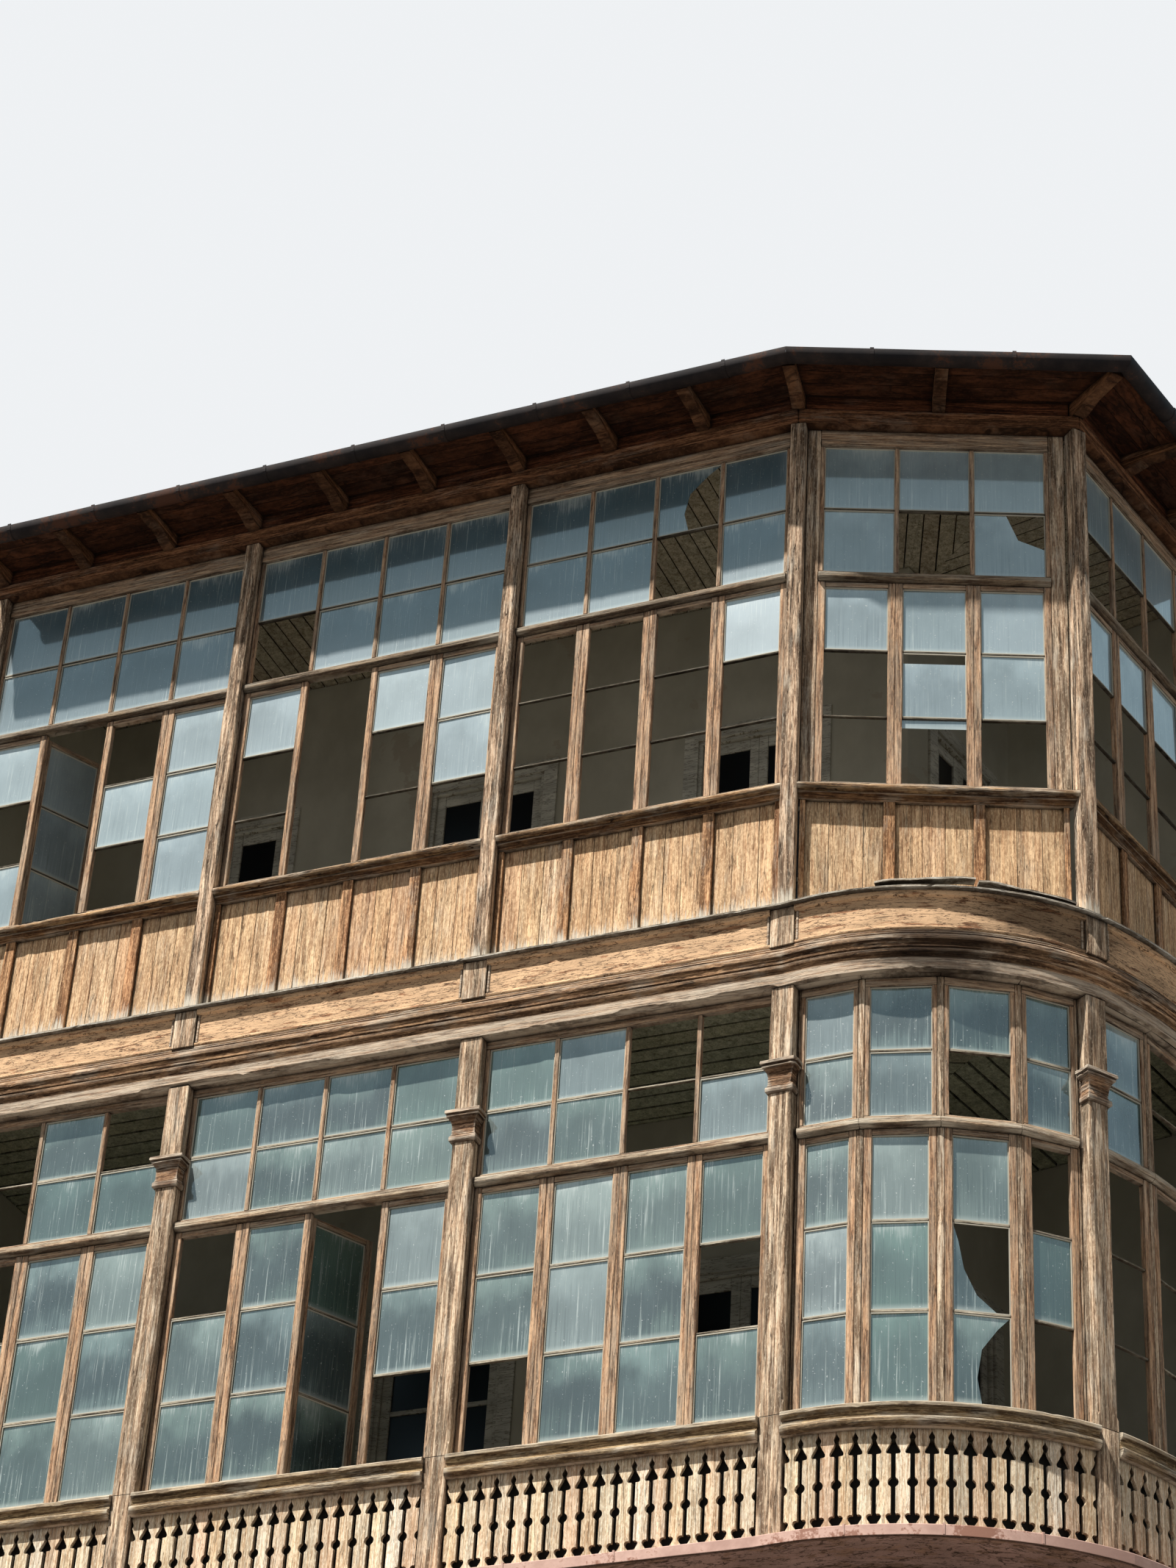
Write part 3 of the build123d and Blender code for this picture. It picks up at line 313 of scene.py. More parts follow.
SUNLIT = 1.3
BLEACHED = (226, 218, 200)
# Near-black for soot, checks and blackened rot, and also for painted shade in hollows and on lower faces.
SOOT_AND_SHADE = (34, 24, 17)
GRAIN = {"vertical": (1.0, 1.0, 0.04), "horizontal": (0.04, 0.04, 1.0), "flat": (0.45, 0.45, 0.45)}


def lit(*colour):
    """Colour that looks like this, 0 to 255, where the sun falls on the left front."""
    return [c / SUNLIT for c in srgb(*colour)]


def timber(name, light, middle, dark, grain="horizontal", fleck=0.4, stain=0.5, grey=0.3, crack=0.6, edge=0.0,
           foot=None, own=0.0, burn=None, under=0.62, coarse=0.5, upper_storey_shade=1.0):
    """Sun-bleached wood: streaked grain, flecks of old varnish, brown stains, grey patches and checks.

    An edge value gives pale edges, worn wood with a painted highlight along them, a foot level bleaches what
    stands just above it, an own value lets each board keep a colour of its own, and a burn place blackens
    what lies round it. Under is how dark the lower faces are painted as shade; upper faces are always
    lightened as painted sunlight, and corners and hollows darkened as painted shade with some dirt. Coarse
    is how strong the broad streaks, and the last value how much the upper storey is darkened as painted
    shade.
    """
    s = Shader(name)
    light, middle, dark, pale, soot_and_shade = (lit(*tone) for tone in (light, middle, dark, BLEACHED, SOOT_AND_SHADE))
    bright = scaled(light, 1.3)
    board = s.attribute("tint")
    s.coord = s.vector("ADD", s.coord, s.node("ShaderNodeCombineXYZ", {2: board * 17.0}))

    def grained(scale, base, *looks):
        return s.noise(s.stretched(*(scale * g + base for g in GRAIN[grain])), *looks)
    fine = grained(210, 0, 3.0, 0.6)
    streak = grained(58, 0.5, 6.0, 0.75, 0.25)
    tone = streak * 0.62 + fine * 0.38
    colour = s.ramp(tone, [(0.38, dark), (0.46, middle), (0.55, light), (0.64, bright)])
    bands = s.step(grained(24, 0.4, 3.0, 0.6), 0.4, 0.6, 1.0 - coarse, 1.0 + 0.5 * coarse)
    colour = s.mix(1.0, colour, bands, "MULTIPLY")
    broad = grained(11, 0.7, 5.0, 0.65)
    colour = s.mix(s.step(broad, 0.47, 0.62) * stain, colour, s.mix(0.65, colour, scaled(middle, 0.4)))
    flecks = grained(60, 30, 3.0, 0.65)
    colour = s.mix(s.step(flecks, 0.53, 0.6) * fleck, colour, s.mix(0.4, dark, middle))
    colour = s.mix(s.step(flecks, 0.45, 0.39) * (0.7 * fleck), colour, bright)
    patch = grained(5, 2.2, 5.0, 0.65)
    colour = s.mix(s.step(patch, 0.5, 0.64) * grey, colour, s.mix(s.step(tone, 0.42, 0.56), dark, pale))
    if own:
        shade = s.ramp(board, [(0.0, (1.12, 1.12, 1.16)), (0.2, (1.0, 0.86, 0.72)), (0.4, (1.08, 1.02, 0.92)),
                               (0.6, (0.92, 0.74, 0.66)), (0.8, (1.1, 1.06, 1.0)), (1.0, (0.8, 0.74, 0.68))])
        colour = s.mix(own, colour, s.mix(1.0, colour, shade, "MULTIPLY"))
    gap = s.step(abs(grained(38, 0, 3.0, 0.5) - 0.5), 0.003, 0.014)
    colour = s.mix((1.0 - gap) * s.step(broad, 0.4, 0.5) * crack, colour, soot_and_shade)
    # Painted light: faces turned down are darkened as shade, faces turned up lightened as if in sun.
    face_tilt_for_painted_light = s.axis(s.geometry("Normal"), "Z")
    colour = s.mix(s.step(face_tilt_for_painted_light, -0.25, -0.8, 0.0, under), colour, s.mix(0.5, dark, soot_and_shade))
    colour = s.mix(s.step(face_tilt_for_painted_light, 0.3, 0.9, 0.0, 0.55), colour, s.mix(0.25, pale, middle))
    if edge:
        # Pale edges: worn wood, with a painted highlight along them.
        rim = s.step(s.geometry("Pointiness"), 0.515, 0.58) * s.step(streak, 0.38, 0.58, 0.25, 1.0)
        colour = s.mix(rim * edge, colour, s.mix(0.3, pale, light))
    height = s.axis(s.place, "Z")
    if foot is not None:
        low = s.step(height + (streak - 0.5) * 0.55, foot + 0.04, foot + 0.15, 0.85, 0.0)
        colour = s.mix(low * (height > foot - 0.02), colour, pale)
    if burn:
        colour = s.burnt(colour, burn, patch, 0.85)
    # Painted shade: everything above the deck is darkened, as if under the eaves.
    if upper_storey_shade != 1.0:
        colour = s.mix(height > DECK_Z, colour, s.mix(1.0, colour, (upper_storey_shade, upper_storey_shade, upper_storey_shade), "MULTIPLY"))
    # Corners and hollows darkened: painted shade, with some dirt.
    colour = s.hollow_dirt_and_shade(colour, 0.045, 0.32, 0.93, 0.92, soot_and_shade)
    return s.finish(colour, 0.85, tone * 0.8 + gap * 0.6, 0.9, 0.008, 0.08)


def peeling(name, paint, wood, dark, cover=0.5, crackle=1.0, burn=None):
    """Old paint that flakes off a board in ragged islands, over long cracks in the wood."""
    s = Shader(name)
    lines = s.noise(s.stretched(6, 6, 110), 5.0, 0.7)
    under = s.ramp(lines, [(0.36, dark), (0.47, wood), (0.6, scaled(wood, 1.35))])
    patches = s.noise(s.stretched(3.2, 3.2, 22), 8.0, 0.72, 0.4)
    keep = s.step(patches, 0.56 - 0.22 * cover, 0.6 - 0.22 * cover)
    shade = s.step(s.noise(s.stretched(2.5, 2.5, 9), 4.0, 0.6), 0.35, 0.65)
    colour = s.mix(keep, under, s.mix(shade, scaled(paint, 0.82), scaled(paint, 1.12)))
    gap = s.step(abs(s.noise(s.stretched(5, 5, 46), 4.0, 0.6, 0.4) - 0.5), 0.006, 0.024)
    crack = gap * s.step(s.cells(s.stretched(26, 26, 60)), 0.0, 0.05, 1.0 - 0.35 * crackle, 1.0)
    colour = s.mix(crack, s.mix(0.8, colour, dark), colour)
    if burn:
        colour = s.burnt(colour, burn, patches, 0.6)
    # Corners and hollows darkened: painted shade, with some dirt.
    colour = s.hollow_dirt_and_shade(colour, 0.05, 0.25, 0.85, 0.8, dark)
    return s.finish(colour, 0.8, keep * 0.6 + crack * 0.5, 0.5, 0.003, 0.12)


def plaster(name, light, dark):
    """Old plaster with damp stains and patches where the top coat is gone."""
    s = Shader(name)
    broad = s.noise(s.stretched(1.1, 1.1, 0.7), 6.0, 0.6)
    fine = s.noise(s.stretched(30, 30, 30), 4.0, 0.6)
    colour = s.mix(s.step(broad, 0.35, 0.65), dark, light)
    colour = s.mix(fine * 0.2, colour, dark)
    lost = s.step(s.noise(s.stretched(1.3, 1.3, 1.3), 6.0, 0.65, 0.3), 0.62, 0.64)
    colour = s.mix(lost * 0.35, colour, srgb(170, 150, 126))
    return s.finish(colour, 0.93, fine * 0.2 - lost * 0.4, 0.25, 0.003, 0.2)


def sheet_metal(name, light, dark, rust, amount, rough=0.5):
    """Painted sheet with patches of rust."""
    s = Shader(name)
    broad = s.noise(s.stretched(2.5, 2.5, 2.5), 6.0, 0.65)
    fine = s.noise(s.stretched(45, 45, 45), 4.0, 0.6)
    colour = s.mix(s.step(broad, 0.35, 0.65), dark, light)
    mask = s.step(broad + fine * 0.3, 0.78 - 0.3 * amount, 0.86 - 0.3 * amount)
    # Corners and hollows darkened: painted shade, with some dirt.
    colour = s.hollow_dirt_and_shade(s.mix(mask * 0.8, colour, rust), 0.05, 0.3, 0.85, 0.6, dark)
    return s.finish(colour, rough, fine, 0.25, 0.002, 0.15)


def dusty_glass(name):
    """Old glass under dust that the rain has streaked. Each pane has its own tint. Upper panes are paled
    towards sky blue as painted sky light and reflection, and the left top lights above the transom are
    darkened to blue-teal as painted eave shade with painted tree reflections.
    """
    s = Shader(name)
    pane = s.attribute("tint")
    fall = s.attribute("fall")
    own = s.node("ShaderNodeCombineXYZ", (pane * 91.0,))

    def grained(x, y, z, *looks):
        return s.noise(s.vector("ADD", s.stretched(x, y, z), own), *looks)
    streaks = grained(80, 80, 1.3, 5.0, 0.7)
    cloud = grained(3.0, 3.0, 2.0, 4.0, 0.55)
    level = s.axis(s.place, "Z")
    above = level > DECK_Z
    dust_and_sky_sheen = s.ramp(pane, [(0.0, lit(82, 108, 98)), (0.14, lit(136, 158, 148)), (0.28, lit(98, 122, 114)),
                         (0.42, lit(162, 178, 172)), (0.56, lit(110, 142, 130)), (0.7, lit(146, 164, 164)),
                         (0.84, lit(88, 116, 108)), (1.0, lit(174, 188, 186))])
    # Upper storey panes are paled towards sky blue: painted sky light and sky reflection.
    dust_and_sky_sheen = s.mix(above * 0.6, dust_and_sky_sheen, lit(204, 220, 228))
    # Upper top lights of the left front turn blue-teal, most towards each pane's top: painted eave shade with
    # painted tree reflections.
    eave_shade_and_reflection = (level > UPPER_TRANSOM_TOP) * s.step(s.axis(s.place, "X"), 0.0, -0.2)
    eave_shade_and_reflection = eave_shade_and_reflection * s.step(fall + (cloud - 0.5), -0.1, 0.7, 0.35, 0.8)
    dust_and_sky_sheen = s.mix(eave_shade_and_reflection, dust_and_sky_sheen, lit(58, 88, 98))
    deep = s.mix(0.88, dust_and_sky_sheen, lit(14, 34, 32))
    pale = s.mix(0.75, dust_and_sky_sheen, lit(228, 238, 232))
    grime = s.step(s.math("FRACT", pane * 7.3), 0.0, 0.7, 0.42, 1.0) * (1.0 - above * 0.7)
    wet = fall + ((streaks - 0.5) * 0.9 + (cloud - 0.5) * 1.1)
    shaded = s.step(wet, 0.98, 0.5) * s.step(wet, -0.12, 0.3, 0.25, 1.0)
    colour = s.mix(shaded * grime, dust_and_sky_sheen, deep)
    colour = s.mix(s.step(streaks, 0.53, 0.64) * (grime * 0.85), colour, deep)
    colour = s.mix(s.step(streaks, 0.44, 0.34) * s.step(cloud, 0.4, 0.6, 0.25, 0.85), colour, pale)
    rims = s.math("MAXIMUM", s.step(wet, 0.95, 1.15, 0.0, 0.75), s.step(fall, 0.09, 0.01, 0.0, 0.6))
    colour = s.mix(rims, colour, pale)
    spots = s.step(grained(70, 70, 60, 2.0, 0.5), 0.68, 0.74, 0.0, 0.7)
    colour = s.mix(spots, colour, lit(236, 240, 236))
    body = s.node("ShaderNodeBsdfPrincipled", {
        "Base Color": colour, "Roughness": 0.45, "Specular IOR Level": 0.5, "Coat Weight": 1.0,
        "Coat Roughness": 0.06, "Coat IOR": 2.0})
    glow = s.node("ShaderNodeBsdfTranslucent", (colour,))
    dusty = s.node("ShaderNodeMixShader", (0.22, body, glow))
    clear = s.node("ShaderNodeBsdfTransparent", ((0.8, 0.86, 0.86),))
    cover = s.step(cloud + streaks * 0.3, 0.4, 0.75, 0.8, 0.97)
    return s.shown(s.node("ShaderNodeMixShader", (cover, clear, dusty)))


def plain(name, colour, rough=0.9):
    return Shader(name).finish(colour, rough)


UPPER = ((226, 200, 170), (176, 144, 116), (78, 58, 44))
SASH_WOOD = ((208, 170, 130), (150, 110, 78), (62, 44, 32))
RAISED = tuple(bows[0].at(0.5 * CORNER_TURN, 0.03, STEP_TOP - 0.02))
WEATHERED = tuple(bows[0].at(0.85 * CORNER_TURN, 0.03, DRIP_Z - 0.1))
CEILING = {"grain": "flat", "fleck": 0.1, "grey": 0.0, "stain": 0.2, "crack": 0.0, "under": 0.0,
           "coarse": 0.1}
PARAPET = {"grain": "vertical", "fleck": 0.6, "stain": 0.6, "foot": DECK_Z + 0.03}
mats = {
    "post": timber("bleached_post", (222, 200, 170), (180, 148, 118), (92, 74, 58), "vertical", grey=0.35,
                   stain=0.7, own=0.3, coarse=0.6),
    "mullion": timber("mullion_wood", (132, 106, 82), (90, 68, 52), (40, 30, 24), "vertical"),
    "capital": timber("capital_wood", (176, 140, 108), (116, 84, 62), (56, 40, 30), grey=0.5, stain=0.7,
                      edge=0.9),
    "upper_post": timber("upper_post_wood", *UPPER, "vertical", grey=0.45, stain=0.8, crack=0.9, foot=DECK_Z,
                         coarse=0.7),
    "rail": timber("bleached_rail", (196, 170, 130), (136, 108, 78), (62, 48, 34), stain=0.7, grey=0.5,
                   edge=0.9),
    "mould": timber("moulding_wood", (202, 162, 122), (138, 102, 74), (58, 40, 30), stain=0.8, grey=0.4,
                    crack=0.9, edge=0.8, burn=RAISED + (0.62,)),
    "plate": timber("wall_plate_wood", (166, 118, 84), (112, 74, 50), (50, 32, 22), stain=0.6, grey=0.15,
                    crack=0.8),
    # Transoms and glazing bars are darkened above the deck as painted shade.
    "transom": timber("transom_wood", (208, 182, 146), (150, 116, 86), (66, 46, 34), stain=0.6, grey=0.45,
                      edge=0.9, upper_storey_shade=0.62),
    "sash": timber("sash_wood", *SASH_WOOD, "vertical", grey=0.25, edge=0.4, own=0.75),
    "sash_rail": timber("sash_rail_wood", *SASH_WOOD, edge=0.4),
    "bar": timber("bar_paint", (194, 184, 162), (142, 128, 108), (64, 52, 42), grey=0.4, upper_storey_shade=0.45),
    "putty": plain("old_putty", lit(196, 190, 172)),
    "head": timber("parapet_head_wood", (182, 140, 100), (124, 88, 60), (56, 38, 28), grey=0.35, edge=0.4),
    "foot": timber("parapet_foot_wood", (206, 194, 168), (160, 142, 116), (74, 60, 46), grey=0.6, edge=0.4),
    "panel": timber("parapet_wood", (240, 210, 170), (216, 178, 138), (136, 100, 74), grey=0.25, crack=0.5,
                    own=0.5, coarse=0.2, **PARAPET),
    "batten": timber("parapet_batten_wood", (214, 172, 130), (168, 122, 86), (88, 60, 42), own=0.4,
                     **PARAPET),
    "sill": timber("weathered_sill", (206, 168, 122), (140, 100, 66), (54, 38, 28), stain=0.8, grey=0.5,
                   crack=1.0, edge=0.8),
    "drip": timber("grey_drip_wood", (220, 214, 200), (166, 152, 132), (70, 58, 46), grey=0.5, stain=0.4),
    "fret": timber("fret_wood", (242, 234, 212), (226, 206, 174), (164, 132, 104), "vertical", fleck=0.6,
                   stain=0.4, grey=0.2, crack=0.4, own=0.85, coarse=0.25),
    # Near-black sheet behind the fret boards: painted shade.
    "backing": plain("fret_backing", lit(30, 24, 18)),
    "inner": timber("inner_wood", (110, 106, 90), (80, 76, 62), (34, 32, 26), grey=0.1),
    "plank": timber("ceiling_planks", (232, 238, 212), (200, 206, 178), (150, 154, 130), own=0.6, **CEILING),
    "upper_plank": timber("upper_ceiling_planks", (222, 216, 194), (192, 184, 162), (142, 134, 114), own=0.5,
                          **CEILING),
    "eaves": timber("eaves_wood", (126, 78, 52), (84, 50, 34), (34, 20, 14), grey=0.05, stain=0.8, own=0.5),
    "rafter": timber("rafter_wood", (160, 114, 80), (108, 72, 48), (48, 30, 20), grey=0.1),
    "frieze": peeling("frieze_paint", lit(232, 192, 150), lit(168, 122, 88), lit(52, 36, 28), 0.72,
                      burn=WEATHERED + (0.7,)),
    "cornice": peeling("cornice_paint", lit(176, 140, 124), lit(150, 116, 96), lit(66, 50, 40)),
    "wall": plaster("old_plaster", lit(238, 234, 214), lit(206, 202, 182)),
    "ledge": sheet_metal("ledge_sheet", lit(226, 190, 174), lit(188, 152, 138), lit(140, 90, 68), 0.35),
    "roof": sheet_metal("roof_sheet", lit(126, 100, 88), lit(88, 70, 62), lit(120, 72, 48), 0.6),
    "gutter": sheet_metal("gutter_sheet", lit(54, 44, 40), lit(28, 22, 22), lit(84, 52, 36), 0.3, 0.75),
    "door": peeling("door_paint", srgb(214, 212, 198), srgb(176, 166, 142), srgb(120, 110, 92), 1.2, 0.3),
    # Near-black: painted shade of the rooms seen through the door glass.
    "dark": plain("dark_opening", (0.004, 0.004, 0.005), 0.3),
    "glass": dusty_glass("dusty_glass"),
}

NODE_MATERIALS = {
    "post": "post_pedestals post_shafts post_heads upper_jambs frieze_blocks",
    "mullion": "facet_mullions",
    "capital": "post_capitals",
    "upper_post": "upper_posts",
    "rail": "handrails",
    "mould": "lintel_beams lintel_fascia frieze_mouldings",
    "plate": "wall_plates",
    "transom": "window_transoms",
    "sash": "casement_stiles casement_rails top_light_frames",
    "panel": "parapet_panels parapet_battens parapet_rails",
    "sill": "upper_sills",
    "drip": "frieze_drip",
    "fret": "fret_boards",
    "inner": "balustrade_rails gallery_floors gallery_ceilings floor_joists",
    "eaves": "roof_boards eaves_blocking",
    "rafter": "rafters hip_rafters",
    "frieze": "frieze_panels",
    "cornice": "base_cornice",
    "wall": "house_wall_piers house_wall_spandrels party_walls",
    "ledge": "ledge_flashing",
    "roof": "roof_sheets",
    "gutter": "gutter",
    "door": "door_casings door_frames door_leaves",
    "glass": "window_panes",
}
for key, names in NODE_MATERIALS.items():
    for name in names.split():
        for slot in bpy.data.objects[name].material_slots:
            slot.material = mats[key]


# Camera, lights and stage

CAMERA_AT = (7.033, -18.59, -8.08)
YAW = -24.58
PITCH = 34.58
ROLL = 3.8
FOCAL_PX = 4908.0
PHOTO_H = 2133
SUN_SIDE = 26.0
SUN_HEIGHT = 60.0
FLOOR_PALE = (0.78, 0.77, 0.75)
FLOOR_DARK = (0.2, 0.19, 0.18)


def placed(name, data):
    obj = bpy.data.objects.new(name, data)
    bpy.context.collection.objects.link(obj)
    return obj


def make_camera():
    yaw, pitch, roll = (math.radians(angle) for angle in (YAW, PITCH, ROLL))
    forward = Vector((math.sin(yaw) * math.cos(pitch), math.cos(yaw) * math.cos(pitch), math.sin(pitch)))
    right = Vector((math.cos(yaw), -math.sin(yaw), 0.0))
    up = right.cross(forward)
    side = math.cos(roll) * right + math.sin(roll) * up
    top = -math.sin(roll) * right + math.cos(roll) * up
    data = bpy.data.cameras.new("photo_camera")
    data.lens = data.sensor_width * FOCAL_PX / PHOTO_H
    data.clip_end = 200.0
    camera = placed("photo_camera", data)
    camera.matrix_world = Matrix((side, top, -forward)).transposed().to_4x4()
    camera.location = CAMERA_AT
    bpy.context.scene.camera = camera


def make_lights():
    """Sun, a weak bluish fill, and a sky that only the glass and the camera see."""
    side = math.radians(SUN_SIDE)
    height = math.radians(SUN_HEIGHT)
    ray = Vector((math.sin(side) * math.cos(height), math.cos(side) * math.cos(height), -math.sin(height)))
    data = bpy.data.lights.new("key", "SUN")
    data.energy = 8.5
    data.angle = math.radians(1.0)
    data.color = (1.0, 0.97, 0.93)
    placed("key", data).rotation_euler = ray.to_track_quat("-Z", "Y").to_euler()
    s = Shader("studio", "World")
    bpy.context.scene.world = s.owner
    seen = s.node("ShaderNodeBackground", ((0.86, 0.92, 1.0), 0.27))
    for ray, tint in (("Is Glossy Ray", (0.6, 0.86, 1.0)), ("Is Camera Ray", (0.86, 0.88, 0.9))):
        path = s.node("ShaderNodeLightPath", (), ray)
        seen = s.node("ShaderNodeMixShader", (path, seen, s.node("ShaderNodeBackground", (tint, 1.0))))
    s.shown(seen)


def make_floor():
    """Pale to the camera, dark to every other ray so that it throws little light up at the façade.

    From below, where the photograph was taken from, the camera sees through it.
    """
    s = Shader("pale_floor")
    path = s.node("ShaderNodeLightPath", (), "Is Camera Ray")
    body = s.node("ShaderNodeBsdfDiffuse", (s.mix(path, FLOOR_DARK, FLOOR_PALE),))
    clear = s.node("ShaderNodeBsdfTransparent")
    half = 30.0
    mesh = bpy.data.meshes.new("floor")
    square = [(-half, -half, 0), (half, -half, 0), (half, half, 0), (-half, half, 0)]
    mesh.from_pydata(square, [], [(0, 1, 2, 3)])
    hidden = path * s.geometry("Backfacing")
    mesh.materials.append(s.shown(s.node("ShaderNodeMixShader", (hidden, body, clear))))
    placed("floor", mesh)


# Ways to make pieces


def noisy(point, freq, amount):
    return point + amount * noise.noise_vector(point * freq)


def finished(name, mesh, mat, slot, node, turn, bevel=0.0, smooth=False, cut=0.0, jitter=0.0, weld=False):
    """Bevels edges that turn sharply, halves long ones, lets the points waver and hands the piece over."""
    bm = bmesh.new()
    bm.from_mesh(mesh)
    if weld:
        flatten(bm)
    else:
        bmesh.ops.recalc_face_normals(bm, faces=bm.faces)
    if bevel:
        sharp = [e for e in bm.edges if len(e.link_faces) == 2 and e.calc_face_angle() > math.radians(turn)]
        bmesh.ops.bevel(bm, geom=sharp, offset=bevel, segments=1, affect="EDGES", clamp_overlap=True)
    for _ in range(4 if cut else 0):
        long_edges = [e for e in bm.edges if e.calc_length() > cut]
        if long_edges:
            bmesh.ops.subdivide_edges(bm, edges=long_edges, cuts=1, use_grid_fill=True)
    for v in bm.verts:
        v.co = noisy(v.co, 6.0, jitter)
    bm.to_mesh(mesh)
    bm.free()
    mesh.materials.clear()
    mesh.materials.append(mats[mat])
    if smooth:
        mesh.shade_smooth()
        mesh.set_sharp_from_angle(angle=math.radians(35))
    obj = placed(name, mesh)
    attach(obj, "root")
    if node:
        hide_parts(node)


def flatten(bm):
    """Joins the triangles of flat faces."""
    bmesh.ops.remove_doubles(bm, verts=bm.verts, dist=0.00005)
    bmesh.ops.dissolve_limit(bm, angle_limit=math.radians(1), verts=bm.verts, edges=bm.edges)


class Maker:
    """Collects the closed solids of one piece."""

    def __init__(self, name, mat, solids=()):
        self.name = name
        self.mat = mat
        self.verts = []
        self.faces = []
        self.tints = []
        self.falls = []
        for rings in solids:
            self.rings(rings)

    def rings(self, rings, tint=0.5, falls=None):
        """A solid through closed outlines with the same number of points."""
        base = len(self.verts)
        count = len(rings[0])
        for ring in rings:
            self.verts += [tuple(p) for p in ring]
            self.falls += falls or [0.0] * count
        for low in range(base, base + (len(rings) - 1) * count, count):
            for i in range(count):
                j = (i + 1) % count
                self.faces.append((low + i, low + j, low + count + j, low + count + i))
        self.faces.append(tuple(range(base + count - 1, base - 1, -1)))
        self.faces.append(tuple(range(len(self.verts) - count, len(self.verts))))
        self.tints += [tint] * (count * (len(rings) - 1) + 2)

    def slab(self, run, outline, z0, z1, tint=0.5):
        """A plan outline in s and d, raised from one level to another."""
        self.rings([[run.at(s, d, z) for s, d in outline] for z in (z0, z1)], tint)

    def box(self, run, s0, s1, d0, d1, z0, z1, tint=0.5):
        self.slab(run, ((s0, d0), (s1, d0), (s1, d1), (s0, d1)), z0, z1, tint)

    def bar(self, run, profile, s0, s1):
        """A profile in d and z, drawn along the run."""
        self.rings([[run.at(s, d, z) for d, z in profile] for s in (s0, s1)])

    def done(self, slot, node=None, **looks):
        mesh = bpy.data.meshes.new(self.name)
        mesh.from_pydata(self.verts, [], self.faces)
        for name, domain, values in (("tint", "FACE", self.tints), ("fall", "POINT", self.falls)):
            mesh.attributes.new(name, "FLOAT", domain).data.foreach_set("value", values)
        finished(self.name, mesh, self.mat, slot, node, 32, **looks)


def worn(node, mat, bevel=0.005, cut=0.35, jitter=0.0015):
    """A node's own solids with eased edges and the slight waver of old hand-cut timber."""
    mesh = bpy.data.objects[node].data.copy()
    mesh.name = node + "_worn"
    finished(mesh.name, mesh, mat, "weathered_timber", node, 28, bevel, False, cut, jitter, True)


def swept(length, pitch, profile, spot):
    """Rings of a profile at even steps. Spot gives the place of a share of the way, a depth and a level."""
    count = max(1, math.ceil(length / pitch))
    return [[spot(k / count, d, z) for d, z in profile] for k in range(count + 1)]


def run_rings(run, profile, clear0, clear1, pitch):
    def spot(t, d, z):
        return run.at(run.first(clear0, d) * (1 - t) + run.last(clear1, d) * t, d, z)
    return swept(run.length, pitch, profile, spot)


def bow_rings(bow, profile, clear0, clear1, pitch):
    """Rings along the smooth curve, with ends that are parallel to the posts."""
    def angle(post, clear, d):
        offset = clear + sum(a * (p - c) for a, p, c in zip(post.along, post.start, bow.centre))
        return math.radians(post.direction) + math.asin(offset / (bow.radius - d))

    def spot(t, d, z):
        a = angle(bow.first_post, clear0, d) * (1 - t) + angle(bow.last_post, -clear1, d) * t
        reach = bow.radius - d
        return Vector((bow.centre[0] + reach * math.sin(a), bow.centre[1] - reach * math.cos(a), z))
    return swept(math.radians(bow.turn) * bow.radius, pitch, profile, spot)


def bay_rings(profile, clear, pitch, bow_pitch):
    """The same profile in each bay of the lower storey, the straight ones first."""
    return ([run_rings(run, profile, clear, clear, pitch) for run in lower_bays]
            + [bow_rings(bow, profile, clear, clear, bow_pitch) for bow in bows])


def wear(rings, chips=(), depth=0.0, amount=0.0012, seed=0.0):
    """Slight waver everywhere, and bites out of the profile points that stand out."""
    def aged(i, p, middle):
        q = noisy(p, 4.0, amount)
        if i in chips:
            bite = noise.noise(p * 9.0 + Vector((seed, 0, 0))) + 0.5 * noise.noise(p * 31.0) - 0.38
            if bite > 0:
                q += (middle - p).normalized() * min(depth, bite * 2.2 * depth)
        return q
    aged_rings = []
    for ring in rings:
        middle = sum(ring, Vector()) / len(ring)
        aged_rings.append([aged(i, p, middle) for i, p in enumerate(ring)])
    return aged_rings


def eased(points, radius, steps=2):
    """Outline with each sharp corner rounded by short straight steps."""
    result = []
    for i in range(len(points)):
        prev, here, after = (Vector(points[k % len(points)]) for k in (i - 1, i, i + 1))
        a = prev - here
        b = after - here
        reach = min(radius, 0.45 * a.length, 0.45 * b.length)
        p0 = here + a.normalized() * reach
        p1 = here + b.normalized() * reach
        for k in range(steps + 1):
            t = k / steps
            result.append(tuple((1 - t) ** 2 * p0 + 2 * t * (1 - t) * here + t ** 2 * p1))
    return result


def wrapped_rings(profile, pitch, chips=(), depth=0.006, seed=0.0):
    """A profile that goes round the whole front: the left stretch and the two bows."""
    parts = (run_rings(lower_left, profile, -POST_HALF, 0.0, pitch),
             bow_rings(bows[0], profile, 0.0, 0.0, pitch),
             bow_rings(bows[1], profile, 0.0, -POST_HALF, pitch))
    return [wear(rings, chips, depth, seed=seed) for rings in parts]


def high(shape, z0, z1):
    return [(d, z0 + (z1 - z0) * share) for d, share in shape]


def fronts(profile, limit):
    """Numbers of the points of a profile that lie in front of a depth."""
    return {i for i, (d, z) in enumerate(profile) if d < limit}


# Lower storey: base, balustrade and mouldings

MOULD_BACK = 0.157


